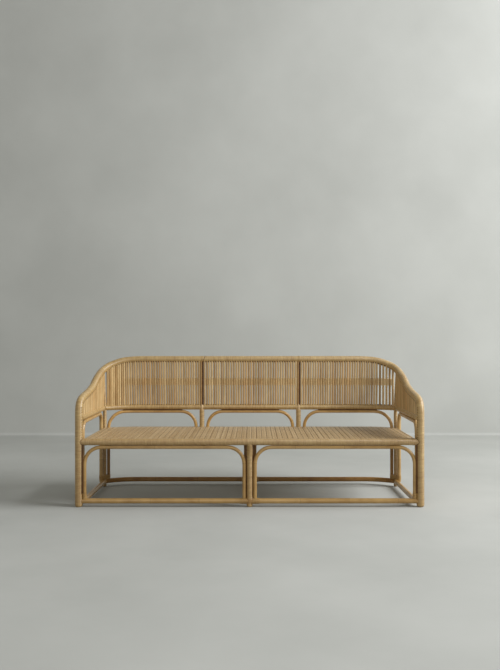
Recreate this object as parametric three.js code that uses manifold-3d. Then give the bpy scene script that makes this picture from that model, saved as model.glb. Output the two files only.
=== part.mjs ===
// A rattan garden sofa: bent poles wrapped in cane peel, upright sticks, bent arches and a woven deck.
// Millimetres, Z up, +X to the viewer's right, +Y to the back. The origin is on the floor, below the middle.
import * as THREE from 'three';
import { mergeVertices } from 'three/addons/utils/BufferGeometryUtils.js';
import Module from 'manifold-3d';

const wasm = await Module();
wasm.setup();

// Driving sizes of the whole sofa.
const overall_width = 2000;
const overall_depth = 754;
const overall_height = 845;
const seat_height = 390;
const back_opening = 118;
const arm_rise = 42;
const stretcher_height = 33.5;

// Diameters of the poles.
const hoop_diameter = 44;
const corner_post_diameter = 24;
const short_post_diameter = 32;
const divider_diameter = 20;
const lower_rail_diameter = 32;
const seat_roll_diameter = 38;
const seat_rail_diameter = 26;
const bearer_diameter = 22;
const centre_leg_diameter = 32;
const stretcher_diameter = 30;
const arch_diameter = 21;
const side_arch_diameter = 24;
const stick_diameter = 14.2;
const dowel_diameter = 16;

// Places that can be set by themselves.
const corner_post_inset = 33;
const corner_post_setback = 75;
const corner_run = 200;
const divider_place = 318;
const side_arch_inset = 14.5;
const side_rail_inset = 12;
const side_rail_offset = 8;
const side_stretcher_inset = 26;
const centre_arch_spacing = 62;
const back_arch_gap = 38;
const rear_arch_inset = 55;

// Sizes of single features.
const arch_bend_radius = 95;
const back_arch_bend_radius = 100;
const side_arch_bend_radius = 60;
const stick_pitch = 15.8;
const back_batten_width = 42;
const batten_thickness = 10;
const batten_overlap = 2.5;
const back_batten_share = 0.533;
const side_batten_rise = 38;
const side_batten_width = 20;
const deck_thickness = 12;
const deck_drop = 2;
const deck_fall = 8;
const dowel_length = 70;
const foot_round = 9;
const collar_length = 60;
const corner_binding_length = 34;
const rear_binding_length = 26;
const foot_binding_length = 16;
const peel_width = 6;
const peel_thickness = 1.5;
const peel_pitch = 6.8;
const joint_clearance = 0.3;
const cut_overrun = 5;

// How finely round things are faceted.
const hoop_sides = 14;
const pole_sides = 12;
const arch_sides = 8;
const stick_sides = 4;
const bend_steps = 5;
const line_steps = 2;
const loop_steps = 12;
const loop_checks = 360;
const curved_batten_steps = 20;
const bearer_count = 5;

// Lines of the bent pole, from the front leg to the corner post and on to the top rail. Each row is a share
// of the half width, of the depth between the front legs and the back, and of the rise from the arm's start.
const arm_line_shares = [
  [1.000, 0.000, 0.000],
  [0.999, 0.017, 0.132],
  [0.998, 0.070, 0.219],
  [0.995, 0.214, 0.283],
  [0.992, 0.366, 0.343],
  [0.988, 0.507, 0.439],
  [0.985, 0.585, 0.539],
  [0.980, 0.704, 0.653],
  [0.973, 0.850, 0.753],
];
const corner_line_shares = [
  [0.973, 0.850, 0.753],
  [0.945, 0.930, 0.846],
  [0.902, 0.965, 0.913],
  [0.856, 0.986, 0.964],
  [0.803, 1.000, 0.988],
  [0.736, 1.000, 1.000],
];
const half_share = 0.5;

const half = (size) => size * half_share;
const hoop_radius = half(hoop_diameter);
const post_radius = half(corner_post_diameter);
const rail_radius = half(lower_rail_diameter);
const roll_radius = half(seat_roll_diameter);
const seat_rail_radius = half(seat_rail_diameter);
const bearer_radius = half(bearer_diameter);
const leg_radius = half(centre_leg_diameter);
const stretcher_radius = half(stretcher_diameter);
const arch_radius = half(arch_diameter);
const side_arch_radius = half(side_arch_diameter);
const stick_radius = half(stick_diameter);
const divider_radius = half(divider_diameter);

// Centre lines that the pieces share.
const leg_x = half(overall_width) - hoop_radius;
const front_y = hoop_radius - half(overall_depth);
const back_y = half(overall_depth) - hoop_radius;
const rail_z = overall_height - hoop_radius;
const lower_rail_height = seat_height + back_opening;
const arm_start_z = lower_rail_height + arm_rise;
const back_batten_height = lower_rail_height + back_batten_share * (rail_z - lower_rail_height);
const side_batten_height = lower_rail_height + side_batten_rise;
const post_x = leg_x - corner_post_inset;
const post_y = back_y - corner_post_setback;
const roll_z = seat_height - roll_radius;
const deck_top = seat_height - deck_drop;
const deck_bottom = deck_top - deck_thickness;
const side_arch_x = leg_x - side_arch_inset;
const side_stretcher_x = leg_x - side_stretcher_inset;
const deck_half_width = side_arch_x - side_arch_radius - joint_clearance;
const seat_side_rail_x = deck_half_width - seat_rail_radius;
const seat_side_rail_z = deck_bottom - joint_clearance - seat_rail_radius;
const rear_rail_z = deck_top - deck_fall - seat_rail_radius;
const bearer_z = deck_bottom - joint_clearance - bearer_radius;
const fall_at = (y) => deck_fall * (y - front_y) / (back_y - front_y);

const group = new THREE.Group();
const at = (x, y, z) => new THREE.Vector3(x, y, z);

// A route visits its stations in equal steps, so a straight run takes one step and a bend as many as it
// needs. Where it has an axis, the section that it carries keeps its first side along that axis.
class Route extends THREE.Curve {
  constructor(stations, axis) {
    super();
    this.stations = stations;
    this.axis = axis;
  }

  getPoint(share, target = new THREE.Vector3()) {
    const place = share * (this.stations.length - 1);
    const index = Math.min(Math.floor(place), this.stations.length - 2);
    return target.lerpVectors(this.stations[index], this.stations[index + 1], place - index);
  }

  getUtoTmapping(share) {
    return share;
  }

  computeFrenetFrames(segments, closed) {
    if (!this.axis) return super.computeFrenetFrames(segments, closed);
    const tangents = Array.from({ length: segments + 1 }, (_, index) => this.getTangentAt(index / segments));
    const normals = tangents.map((tangent) => this.axis.clone().projectOnPlane(tangent).normalize());
    const binormals = tangents.map((tangent, index) => tangent.clone().cross(normals[index]));
    return { tangents, normals, binormals };
  }
}

function round_section(radius, sides) {
  const corner = (_, index) => {
    const turn = (index / sides) * 2 * Math.PI;
    return new THREE.Vector2(radius * Math.cos(turn), radius * Math.sin(turn));
  };
  return new THREE.Shape(Array.from({ length: sides }, corner));
}

function flat_section(width, thickness) {
  const [x, y] = [half(width), half(thickness)];
  return new THREE.Shape([[-x, -y], [x, -y], [x, y], [-x, y]].map(([a, b]) => new THREE.Vector2(a, b)));
}

function to_solid(geometry) {
  geometry.deleteAttribute('normal');
  geometry.deleteAttribute('uv');
  const merged = mergeVertices(geometry);
  const vertProperties = new Float32Array(merged.attributes.position.array);
  const triVerts = new Uint32Array(merged.index.array);
  return new wasm.Manifold(new wasm.Mesh({ numProp: 3, vertProperties, triVerts }));
}

function sweep(stations, section, axis) {
  const steps = stations.length - 1;
  const settings = { steps, extrudePath: new Route(stations, axis), bevelEnabled: false };
  return to_solid(new THREE.ExtrudeGeometry(section, settings));
}

// A pole is a round section on a line of stations. Its sleeve is the room that its neighbours leave for it.
function pole(stations, diameter, sides = pole_sides) {
  return { stations, radius: half(diameter), sides };
}

const body_of = (piece) => sweep(piece.stations, round_section(piece.radius, piece.sides));

function sleeve_of(piece) {
  const stations = piece.stations.map((place) => place.clone());
  for (const [end, next] of [[0, 1], [stations.length - 1, stations.length - 2]]) {
    const outward = stations[end].clone().sub(stations[next]).setLength(joint_clearance);
    stations[end].add(outward);
  }
  return sweep(stations, round_section(piece.radius + joint_clearance, piece.sides));
}

// A coped pole is cut by the sleeves of the poles that it meets.
const cut_by = (solid, neighbours) => neighbours.reduce((rest, one) => rest.subtract(sleeve_of(one)), solid);
const coped = (piece, ...neighbours) => cut_by(body_of(piece), neighbours);

// Finishes: colour, roughness.
const wrapped_cane = { color: 0xb09468, roughness: 0.62 };
const bent_cane = { color: 0xa88550, roughness: 0.55 };
const stick_cane = { color: 0xa58c62, roughness: 0.65 };
const woven_cane = { color: 0xa08660, roughness: 0.7 };
const hidden_cane = { color: 0x94774a, roughness: 0.7 };
const peel_cane = { color: 0x9a7d50, roughness: 0.6 };

function add(name, solid, finish) {
  const mesh = solid.getMesh();
  const geometry = new THREE.BufferGeometry();
  geometry.setAttribute('position', new THREE.BufferAttribute(mesh.vertProperties, 3));
  geometry.setIndex(new THREE.BufferAttribute(mesh.triVerts, 1));
  geometry.computeVertexNormals();
  const piece = new THREE.Mesh(geometry, new THREE.MeshStandardMaterial({ ...finish, metalness: 0 }));
  piece.name = name;
  group.add(piece);
}

const both_sides = [['left', -1], ['right', 1]];
const mirrored = (stations, side) => stations.map((place) => at(place.x * side, place.y, place.z));

// The corner of the plan: the back runs straight, then curves forward on an arc to the corner post.
const corner_start_x = post_x - corner_run;
const corner_radius = (corner_run ** 2 + corner_post_setback ** 2) / (2 * corner_post_setback);

function plan_y(x) {
  const past = Math.max(Math.abs(x) - corner_start_x, 0);
  return back_y - corner_radius + Math.sqrt(corner_radius ** 2 - past ** 2);
}

// Stations from one x to another along the plan, with the corners stepped and the straight in one.
function plan_line(from_x, to_x, z) {
  const step = corner_run / bend_steps;
  const stops = [from_x, to_x];
  for (let index = 0; index < bend_steps; index += 1) {
    const x = corner_start_x + index * step;
    for (const stop of [x, -x]) {
      if (stop > Math.min(from_x, to_x) && stop < Math.max(from_x, to_x)) stops.push(stop);
    }
  }
  stops.sort((a, b) => (a - b) * Math.sign(to_x - from_x));
  return stops.map((x) => at(x, plan_y(x), z));
}

// The points of a quarter bend, in the plane of an arch, from its leg to its top.
function quarter_bend(start, way, top, bend) {
  const outline = [];
  for (let index = 0; index <= bend_steps; index += 1) {
    const turn = half(Math.PI) * (index / bend_steps);
    outline.push([start + way * bend * (1 - Math.cos(turn)), top - bend * (1 - Math.sin(turn))]);
  }
  return outline;
}

// An arch: a leg, a quarter bend, a straight top, a quarter bend and a leg.
function arch_outline(start, end, foot, top, bend) {
  const way = Math.sign(end - start);
  const rise = quarter_bend(start, way, top, bend);
  const fall = quarter_bend(end, -way, top, bend).reverse();
  return [[start, foot], ...rise, ...fall, [end, foot]];
}

// A spline through the shares, with a few stations to each span.
function spline_stations(shares) {
  const rise = rail_z - arm_start_z;
  const depth = back_y - front_y;
  const points = shares.map(([x, y, z]) => at(x * leg_x, front_y + y * depth, arm_start_z + z * rise));
  const spline = new THREE.CatmullRomCurve3(points, false, 'centripetal');
  return spline.getPoints((points.length - 1) * line_steps);
}

// One spline runs through both tables, so that it is smooth where they meet at the corner post.
const bent_line = spline_stations([...arm_line_shares, ...corner_line_shares.slice(1)]);
const post_index = (arm_line_shares.length - 1) * line_steps;
const arm_line = bent_line.slice(0, post_index + 1);
const top_line = [...bent_line.slice(post_index), at(divider_place, back_y, rail_z)];
const hoop_line = [at(leg_x, front_y, 0), ...bent_line, at(divider_place, back_y, rail_z)];

// The bent pole: front leg, arm, rear corner and the outer length of the top rail.
const hoop = (side) => pole(mirrored(hoop_line, side), hoop_diameter, hoop_sides);
const rail_end = (side) => at(divider_place * side, back_y, rail_z);

// Dowels inside the two joints of the top rail, and the room for them.
function dowel(side, slack) {
  const reach = half(dowel_length) + slack;
  const ends = [-reach, reach].map((offset) => at(divider_place * side + offset, back_y, rail_z));
  return sweep(ends, round_section(half(dowel_diameter) + slack, pole_sides));
}

// A ring round a foot of the frame that cuts its lower edge to a slope.
function foot_edge(x, y, radius) {
  const inner = new THREE.Vector2(radius - foot_round - cut_overrun, -cut_overrun);
  const outer = new THREE.Vector2(radius + cut_overrun, -cut_overrun);
  const upper = new THREE.Vector2(radius + cut_overrun, foot_round + cut_overrun);
  const ring = new THREE.LatheGeometry([inner, outer, upper, inner], hoop_sides);
  ring.rotateX(half(Math.PI));
  ring.translate(x, y, 0);
  return to_solid(ring);
}

function make_hoop(word, side) {
  const shaft = body_of(hoop(side)).subtract(dowel(side, joint_clearance));
  add(`arm_hoop_${word}`, shaft.subtract(foot_edge(leg_x * side, front_y, hoop_radius)), wrapped_cane);
}

function make_top_rail() {
  const ends = [-1, 1].map((side) => at((divider_place - joint_clearance) * side, back_y, rail_z));
  const rail = body_of(pole(ends, hoop_diameter, hoop_sides));
  const bored = rail.subtract(dowel(-1, joint_clearance)).subtract(dowel(1, joint_clearance));
  add('top_rail_centre', bored, wrapped_cane);
}

// Corner posts lean a little, from the floor to the underside of the bent pole.
function corner_post(side) {
  const head = arm_line[arm_line.length - 1];
  const stations = [at(post_x, post_y, 0), at(post_x, post_y, lower_rail_height), head];
  return pole(mirrored(stations, side), corner_post_diameter);
}

function make_corner_post(word, side) {
  const post = coped(corner_post(side), hoop(side));
  add(`corner_post_${word}`, post.subtract(foot_edge(post_x * side, post_y, post_radius)), wrapped_cane);
}

// Lower rails of the sides and of the back, at one height. A side rail meets the front leg inside its middle
// and the corner post outside its middle, so that the post shows beside the sticks.
const side_rail_start = at(leg_x - side_rail_inset, front_y, lower_rail_height);
const side_rail_end = at(post_x + side_rail_offset, post_y, lower_rail_height);
const lower_side_rail = (side) => pole(mirrored([side_rail_start, side_rail_end], side), lower_rail_diameter);

const lower_back_rail = () => pole(plan_line(-post_x, post_x, lower_rail_height), lower_rail_diameter);

function make_lower_back_rail() {
  const posts = [corner_post(-1), corner_post(1)];
  const rail = coped(lower_back_rail(), ...posts, lower_side_rail(-1), lower_side_rail(1));
  add('lower_back_rail', rail, wrapped_cane);
}

function make_lower_side_rail(word, side) {
  add(`lower_side_rail_${word}`, coped(lower_side_rail(side), hoop(side), corner_post(side)), wrapped_cane);
}

// Rails of the seat: the thick front roll, the rear rail and the two side rails.
const seat_roll = () => pole([at(-leg_x, front_y, roll_z), at(leg_x, front_y, roll_z)], seat_roll_diameter);
const rear_seat_rail = () => pole(plan_line(-post_x, post_x, rear_rail_z), seat_rail_diameter);
const behind_roll = front_y + half(roll_radius);

function seat_side_rail(side) {
  const stations = [
    at(seat_side_rail_x, behind_roll, seat_side_rail_z - fall_at(behind_roll)),
    at(seat_side_rail_x, post_y, seat_side_rail_z - fall_at(post_y)),
  ];
  return pole(mirrored(stations, side), seat_rail_diameter);
}

function make_seat_rails() {
  const posts = [corner_post(-1), corner_post(1)];
  add('seat_front_roll', coped(seat_roll(), hoop(-1), hoop(1)), wrapped_cane);
  add('seat_rear_rail', coped(rear_seat_rail(), ...posts), hidden_cane);
  for (const [word, side] of both_sides) {
    const rail = coped(seat_side_rail(side), seat_roll(), corner_post(side), rear_seat_rail());
    add(`seat_side_rail_${word}`, rail, hidden_cane);
  }
}

// Short posts from the rear seat rail to the lower back rail, and thin dividers from there to the top rail.
const by_joint = (side, low, high) => [low, high].map((z) => at(divider_place * side, back_y, z));
const short_post = (side) => pole(by_joint(side, rear_rail_z, lower_rail_height), short_post_diameter);

function make_back_posts(word, side) {
  add(`short_post_${word}`, coped(short_post(side), rear_seat_rail(), lower_back_rail()), wrapped_cane);
  const divider = pole(by_joint(side, lower_rail_height, rail_z), divider_diameter);
  const rail_piece = pole([rail_end(-side), at(post_x * side, back_y, rail_z)], hoop_diameter, hoop_sides);
  add(`back_divider_${word}`, coped(divider, lower_back_rail(), rail_piece), bent_cane);
}

// Centre legs in front and behind.
const centre_leg = (y, top) => pole([at(0, y, 0), at(0, y, top)], centre_leg_diameter);
const front_centre_leg = () => centre_leg(front_y, roll_z);
const rear_centre_leg = () => centre_leg(back_y, rear_rail_z);

function make_centre_legs() {
  const front = coped(front_centre_leg(), seat_roll());
  add('front_centre_leg', front.subtract(foot_edge(0, front_y, leg_radius)), wrapped_cane);
  const rear = coped(rear_centre_leg(), rear_seat_rail());
  add('rear_centre_leg', rear.subtract(foot_edge(0, back_y, leg_radius)), wrapped_cane);
}

// Bearers under the deck, from the front roll to the rear rail.
function make_bearers() {
  const spacing = (2 * deck_half_width) / (bearer_count + 1);
  for (let index = 1; index <= bearer_count; index += 1) {
    const x = index * spacing - deck_half_width;
    const ends = [behind_roll, back_y - seat_rail_radius].map((y) => at(x, y, bearer_z - fall_at(y)));
    const bearer = pole(ends, bearer_diameter);
    const neighbours = [seat_roll(), rear_seat_rail(), front_centre_leg(), rear_centre_leg()];
    for (const [, side] of both_sides) neighbours.push(short_post(side), rear_arch(side));
    add(`seat_bearer_${index}`, coped(bearer, ...neighbours), hidden_cane);
  }
}

// Stretchers just over the floor.
function front_stretcher(side) {
  return pole(mirrored([at(leg_x, front_y, stretcher_height), at(0, front_y, stretcher_height)], side),
    stretcher_diameter);
}

function side_stretcher(side) {
  const stations = [at(side_stretcher_x, front_y, stretcher_height), at(post_x, post_y, stretcher_height)];
  return pole(mirrored(stations, side), stretcher_diameter);
}

const rear_stretcher_line = plan_line(post_x, 0, stretcher_height);
const rear_stretcher = (side) => pole(mirrored(rear_stretcher_line, side), stretcher_diameter);

function make_stretchers(word, side) {
  const front = coped(front_stretcher(side), hoop(side), front_centre_leg());
  add(`front_stretcher_${word}`, front, bent_cane);
  const flank = coped(side_stretcher(side), hoop(side), front_stretcher(side), corner_post(side));
  add(`side_stretcher_${word}`, flank, bent_cane);
  const rear = coped(rear_stretcher(side), corner_post(side), side_stretcher(side), rear_centre_leg());
  add(`rear_stretcher_${word}`, rear, bent_cane);
}

// Arches under the seat, in front and behind. Their feet stand on the stretchers.
const front_arch_x = leg_x - hoop_radius - joint_clearance - arch_radius;
const rear_arch_x = leg_x - rear_arch_inset;
const inner_arch_x = half(centre_arch_spacing);

function front_arch(side) {
  const top = roll_z - roll_radius - joint_clearance - arch_radius;
  const outline = arch_outline(front_arch_x, inner_arch_x, stretcher_height, top, arch_bend_radius);
  return pole(outline.map(([x, z]) => at(x * side, front_y, z)), arch_diameter, arch_sides);
}

function rear_arch(side) {
  const top = rear_rail_z - seat_rail_radius - joint_clearance - arch_radius;
  const outline = arch_outline(rear_arch_x, inner_arch_x, stretcher_height, top, arch_bend_radius);
  return pole(outline.map(([x, z]) => at(x * side, plan_y(x), z)), arch_diameter, arch_sides);
}

function make_low_arches(word, side) {
  add(`front_arch_${word}`, coped(front_arch(side), front_stretcher(side), side_stretcher(side)), bent_cane);
  add(`rear_arch_${word}`, coped(rear_arch(side), rear_stretcher(side)), bent_cane);
}

// Arches of the back, above the seat. They stand on the rear seat rail and lie under the lower back rail.
function back_arch(start, end) {
  const top = lower_rail_height - rail_radius - joint_clearance - arch_radius;
  const outline = arch_outline(start, end, rear_rail_z, top, back_arch_bend_radius);
  return pole(outline.map(([x, z]) => at(x, plan_y(x), z)), arch_diameter, arch_sides);
}

const near_arch_x = divider_place - back_arch_gap;
const far_arch_x = divider_place + back_arch_gap;
const back_arches = {
  left: back_arch(-rear_arch_x, -far_arch_x),
  centre: back_arch(-near_arch_x, near_arch_x),
  right: back_arch(far_arch_x, rear_arch_x),
};

function make_back_arches() {
  for (const [word, arch] of Object.entries(back_arches)) {
    add(`back_arch_${word}`, coped(arch, rear_seat_rail()), bent_cane);
  }
}

// Tall arches at the sides, from the side stretcher past the seat to the lower side rail.
const side_arch_front = front_y + hoop_radius + joint_clearance + side_arch_radius;
const side_arch_rear = post_y - post_radius - joint_clearance - side_arch_radius;

function side_arch(side) {
  const top = lower_rail_height - rail_radius - joint_clearance - side_arch_radius;
  const outline = arch_outline(side_arch_front, side_arch_rear, stretcher_height, top, side_arch_bend_radius);
  return pole(outline.map(([y, z]) => at(side_arch_x * side, y, z)), side_arch_diameter, arch_sides);
}

function make_side_arch(word, side) {
  add(`side_arch_${word}`, coped(side_arch(side), side_stretcher(side)), bent_cane);
}

// The woven deck: a flat mat, cut to the plan of the seat. It falls a little towards the back.
function make_deck() {
  const side_end = post_y - post_radius;
  const front = [[-deck_half_width, side_end], [-deck_half_width, front_y], [deck_half_width, front_y],
    [deck_half_width, side_end]].map(([x, y]) => new THREE.Vector2(x, y));
  const rear = plan_line(post_x, -post_x, 0).map((place) => new THREE.Vector2(place.x, place.y));
  const mat = new THREE.ExtrudeGeometry(new THREE.Shape([...front, ...rear]),
    { depth: deck_thickness, bevelEnabled: false });
  mat.translate(0, 0, deck_bottom);
  const places = mat.attributes.position;
  for (let index = 0; index < places.count; index += 1) {
    places.setZ(index, places.getZ(index) - fall_at(places.getY(index)));
  }
  const neighbours = [seat_roll(), rear_seat_rail(), ...Object.values(back_arches)];
  for (const [, side] of both_sides) neighbours.push(corner_post(side), short_post(side));
  add('seat_deck', cut_by(to_solid(mat), neighbours), woven_cane);
}

// The length of a line of stations, and the place at a distance from the first of them.
function line_length(stations) {
  return stations.slice(1).reduce((sum, place, index) => sum + place.distanceTo(stations[index]), 0);
}

function place_at(stations, distance) {
  let left = distance;
  for (let index = 1; index < stations.length; index += 1) {
    const span = stations[index].distanceTo(stations[index - 1]);
    if (left <= span || index === stations.length - 1) {
      return stations[index - 1].clone().lerp(stations[index], left / span);
    }
    left -= span;
  }
  return stations[0].clone();
}

// The place on a line where its x or its y, which only rises or only falls along it, has a given value.
function place_where(stations, axis, value) {
  const way = Math.sign(stations[stations.length - 1][axis] - stations[0][axis]);
  const index = Math.max(stations.findIndex((place) => way * (place[axis] - value) > 0), 1);
  const [before, after] = [stations[index - 1], stations[index]];
  return before.clone().lerp(after, (value - before[axis]) / (after[axis] - before[axis]));
}

// Sticks of a panel stand side by side between two lines, with a batten fixed to their backs. Their square
// ends stop a hair short of the poles, so a stick is a little shorter where the pole above slopes.
function stick_panel(pairs, foot_radius, batten, neighbours) {
  const sticks = pairs.map(([foot, head], index) => {
    const way = head.clone().sub(foot).normalize();
    const beside = pairs[index + 1] ?? pairs[index - 1];
    const rise = Math.abs(beside[1].clone().sub(head).normalize().dot(way));
    const level = Math.sqrt(1 - rise ** 2);
    const low = foot.clone().addScaledVector(way, foot_radius + joint_clearance);
    const cut = (hoop_radius + joint_clearance + stick_radius * rise) / level;
    const high = head.clone().addScaledVector(way, -cut);
    return sweep([low, high], round_section(stick_radius, stick_sides));
  });
  const reach = stick_radius + half(batten.thickness) - batten_overlap;
  const route = [];
  const last = pairs.length - 1;
  for (let step = 0; step <= batten.steps; step += 1) {
    const [foot, head] = pairs[Math.round((step / batten.steps) * last)];
    const share = (batten.height - foot.z) / (head.z - foot.z);
    route.push(foot.clone().lerp(head, share));
  }
  const outward = route.map((place, index) => {
    const ahead = route[Math.min(index + 1, route.length - 1)];
    const behind = route[Math.max(index - 1, 0)];
    return at(behind.y - ahead.y, ahead.x - behind.x, 0).setLength(reach * batten.turn);
  });
  const strip = sweep(route.map((place, index) => place.clone().add(outward[index])),
    flat_section(batten.width, batten.thickness), at(0, 0, 1));
  return cut_by(sticks.reduce((solid, stick) => solid.add(stick), strip), neighbours);
}

// Pairs of foot and head places. The feet are a pitch apart, with room left at both ends, and each head
// stands at its foot's share of the way across, so that the sticks are close to upright.
function stick_pairs(feet, heads, room_before, room_after) {
  const low = line_length(feet);
  const count = Math.floor((low - room_before - room_after) / stick_pitch);
  const [start, end] = [feet[0].x, feet[feet.length - 1].x];
  const [head_start, head_end] = [heads[0].x, heads[heads.length - 1].x];
  return Array.from({ length: count + 1 }, (_, index) => {
    const foot = place_at(feet, room_before + (index / count) * (low - room_before - room_after));
    const across = (foot.x - start) / (end - start);
    return [foot, place_where(heads, 'x', head_start + across * (head_end - head_start))];
  });
}

const stick_gap = stick_pitch - stick_diameter;
const by_post = post_radius + stick_radius + stick_gap;
const by_divider = divider_radius + stick_radius + stick_gap;
const back_batten = { height: back_batten_height, width: back_batten_width, thickness: batten_thickness };

function make_back_panels() {
  const middle = [-1, 1].map((side) => at(divider_place * side, back_y, lower_rail_height));
  const pairs = stick_pairs(middle, [rail_end(-1), rail_end(1)], by_divider, by_divider);
  const panel = stick_panel(pairs, rail_radius, { ...back_batten, steps: 1, turn: 1 }, []);
  add('back_panel_centre', panel, stick_cane);
  for (const [word, side] of both_sides) {
    const feet = mirrored(plan_line(post_x, divider_place, lower_rail_height), side);
    const outer_pairs = stick_pairs(feet, mirrored(top_line, side), by_post, by_divider);
    const batten = { ...back_batten, steps: curved_batten_steps, turn: -side };
    const neighbours = [hoop(side), corner_post(side), lower_back_rail()];
    add(`back_panel_${word}`, stick_panel(outer_pairs, rail_radius, batten, neighbours), stick_cane);
  }
}

function make_side_panel(word, side) {
  const run = side_rail_start.distanceTo(side_rail_end);
  const first = hoop_radius + stick_radius + stick_gap;
  const count = Math.floor((run - first - by_post) / stick_pitch);
  const pairs = Array.from({ length: count + 1 }, (_, index) => {
    const share = (first + (index / count) * (run - first - by_post)) / run;
    const foot = side_rail_start.clone().lerp(side_rail_end, share);
    const head = place_where(arm_line, 'y', front_y + share * (arm_line[arm_line.length - 1].y - front_y));
    return mirrored([foot, head], side);
  });
  const batten = { height: side_batten_height, width: side_batten_width, thickness: batten_thickness };
  const neighbours = [hoop(side), lower_side_rail(side)];
  const panel = stick_panel(pairs, rail_radius, { ...batten, steps: bend_steps, turn: -side }, neighbours);
  add(`side_panel_${word}`, panel, stick_cane);
}

// The loop of a string drawn tight round a bundle of poles: an arc on each pole that reaches out, in turn.
function tight_loop(circles) {
  const reach = ([a, b, radius], turn) => a * Math.cos(turn) + b * Math.sin(turn) + radius;
  const further = (turn) => (best, one) => (reach(one, turn) > reach(best, turn) ? one : best);
  const outmost = (turn) => circles.reduce(further(turn));
  const loop = [];
  let previous = outmost(0);
  for (let index = 0; index < loop_checks; index += 1) {
    const turn = (index / loop_checks) * 2 * Math.PI;
    const here = outmost(turn);
    const touched = [];
    if (here !== previous) touched.push(previous);
    if (here !== previous || index % (loop_checks / loop_steps) === 0) touched.push(here);
    for (const [a, b, radius] of touched) {
      const offset = (radius + joint_clearance) / Math.cos(Math.PI / loop_steps) + half(peel_thickness);
      loop.push([a + offset * Math.cos(turn), b + offset * Math.sin(turn)]);
    }
    previous = here;
  }
  return loop;
}

// A winding of peel goes round its bundle in one unbroken strip, with a pitch a little over its width.
function winding(circles, place, start, length) {
  const loop = tight_loop(circles);
  const turns = Math.floor(length / peel_pitch);
  const stations = [];
  for (let index = 0; index <= turns * loop.length; index += 1) {
    const along = start + half(peel_width) + (index / loop.length) * peel_pitch;
    stations.push(place(...loop[index % loop.length], along));
  }
  const apart = stations.slice(loop.length).map((point, index) => point.distanceTo(stations[index]));
  console.log(`least gap between turns ${(Math.min(...apart) - peel_width).toFixed(2)} mm`);
  const axis = place(0, 0, 1).sub(place(0, 0, 0));
  return sweep(stations, flat_section(peel_width, peel_thickness), axis);
}

const above_stretcher = stretcher_height + stretcher_radius + joint_clearance;
const upright = (side) => (x, y, z) => at(x * side, y, z);

function make_bindings() {
  const collar_start = roll_z - roll_radius - joint_clearance - collar_length;
  const collar = winding([[0, front_y, leg_radius]], upright(1), collar_start, collar_length);
  add('collar_binding', collar, peel_cane);
  for (const [word, side] of both_sides) {
    const front = [[leg_x, front_y, hoop_radius], [front_arch_x, front_y, arch_radius],
      [side_arch_x, side_arch_front, side_arch_radius]];
    const rear = [[post_x, post_y, post_radius], [rear_arch_x, plan_y(rear_arch_x), arch_radius],
      [side_arch_x, side_arch_rear, side_arch_radius]];
    add(`front_corner_binding_${word}`, winding(front, upright(side), above_stretcher, corner_binding_length),
      peel_cane);
    add(`rear_corner_binding_${word}`, winding(rear, upright(side), above_stretcher, rear_binding_length),
      peel_cane);
    const foot_start = inner_arch_x + arch_radius + joint_clearance;
    for (const [name, y] of [['front', front_y], ['rear', back_y]]) {
      const along_x = (a, b, x) => at(x * side, a, b);
      const wound = winding([[y, stretcher_height, stretcher_radius]], along_x, foot_start, foot_binding_length);
      add(`${name}_foot_binding_${word}`, wound, peel_cane);
    }
  }
}

for (const [word, side] of both_sides) {
  make_hoop(word, side);
  add(`top_rail_dowel_${word}`, dowel(side, 0), hidden_cane);
  make_corner_post(word, side);
  make_lower_side_rail(word, side);
  make_back_posts(word, side);
  make_stretchers(word, side);
  make_low_arches(word, side);
  make_side_arch(word, side);
  make_side_panel(word, side);
}
make_top_rail();
make_lower_back_rail();
make_back_panels();
make_back_arches();
make_seat_rails();
make_bearers();
make_deck();
make_centre_legs();
make_bindings();

export default group;
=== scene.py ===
"""A rattan garden sofa: wrapped bent poles, stick panels, bent arches and a woven deck, dressed round its CAD frame."""
import bpy
import numpy as np
from math import pi, radians
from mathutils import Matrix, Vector


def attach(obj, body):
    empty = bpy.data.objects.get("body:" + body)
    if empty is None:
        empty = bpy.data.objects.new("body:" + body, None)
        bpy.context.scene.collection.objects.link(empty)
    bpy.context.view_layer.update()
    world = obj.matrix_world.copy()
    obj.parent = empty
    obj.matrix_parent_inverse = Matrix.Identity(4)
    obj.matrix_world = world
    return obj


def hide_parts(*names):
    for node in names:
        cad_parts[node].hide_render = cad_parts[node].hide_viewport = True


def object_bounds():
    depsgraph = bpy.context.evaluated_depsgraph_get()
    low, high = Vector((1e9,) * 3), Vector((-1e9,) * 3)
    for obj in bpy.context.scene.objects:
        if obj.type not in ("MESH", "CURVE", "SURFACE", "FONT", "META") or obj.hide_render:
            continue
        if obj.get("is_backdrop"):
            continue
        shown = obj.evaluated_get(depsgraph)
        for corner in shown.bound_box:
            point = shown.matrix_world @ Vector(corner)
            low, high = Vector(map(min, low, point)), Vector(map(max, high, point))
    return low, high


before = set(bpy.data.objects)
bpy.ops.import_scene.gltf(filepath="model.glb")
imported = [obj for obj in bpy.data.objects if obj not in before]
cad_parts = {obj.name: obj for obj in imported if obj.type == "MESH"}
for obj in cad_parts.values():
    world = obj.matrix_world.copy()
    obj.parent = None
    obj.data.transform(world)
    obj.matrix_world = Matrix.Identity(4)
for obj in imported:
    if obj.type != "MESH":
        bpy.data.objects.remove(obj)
cad_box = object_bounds()
SIDES = (("left", -1), ("right", 1))

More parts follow.
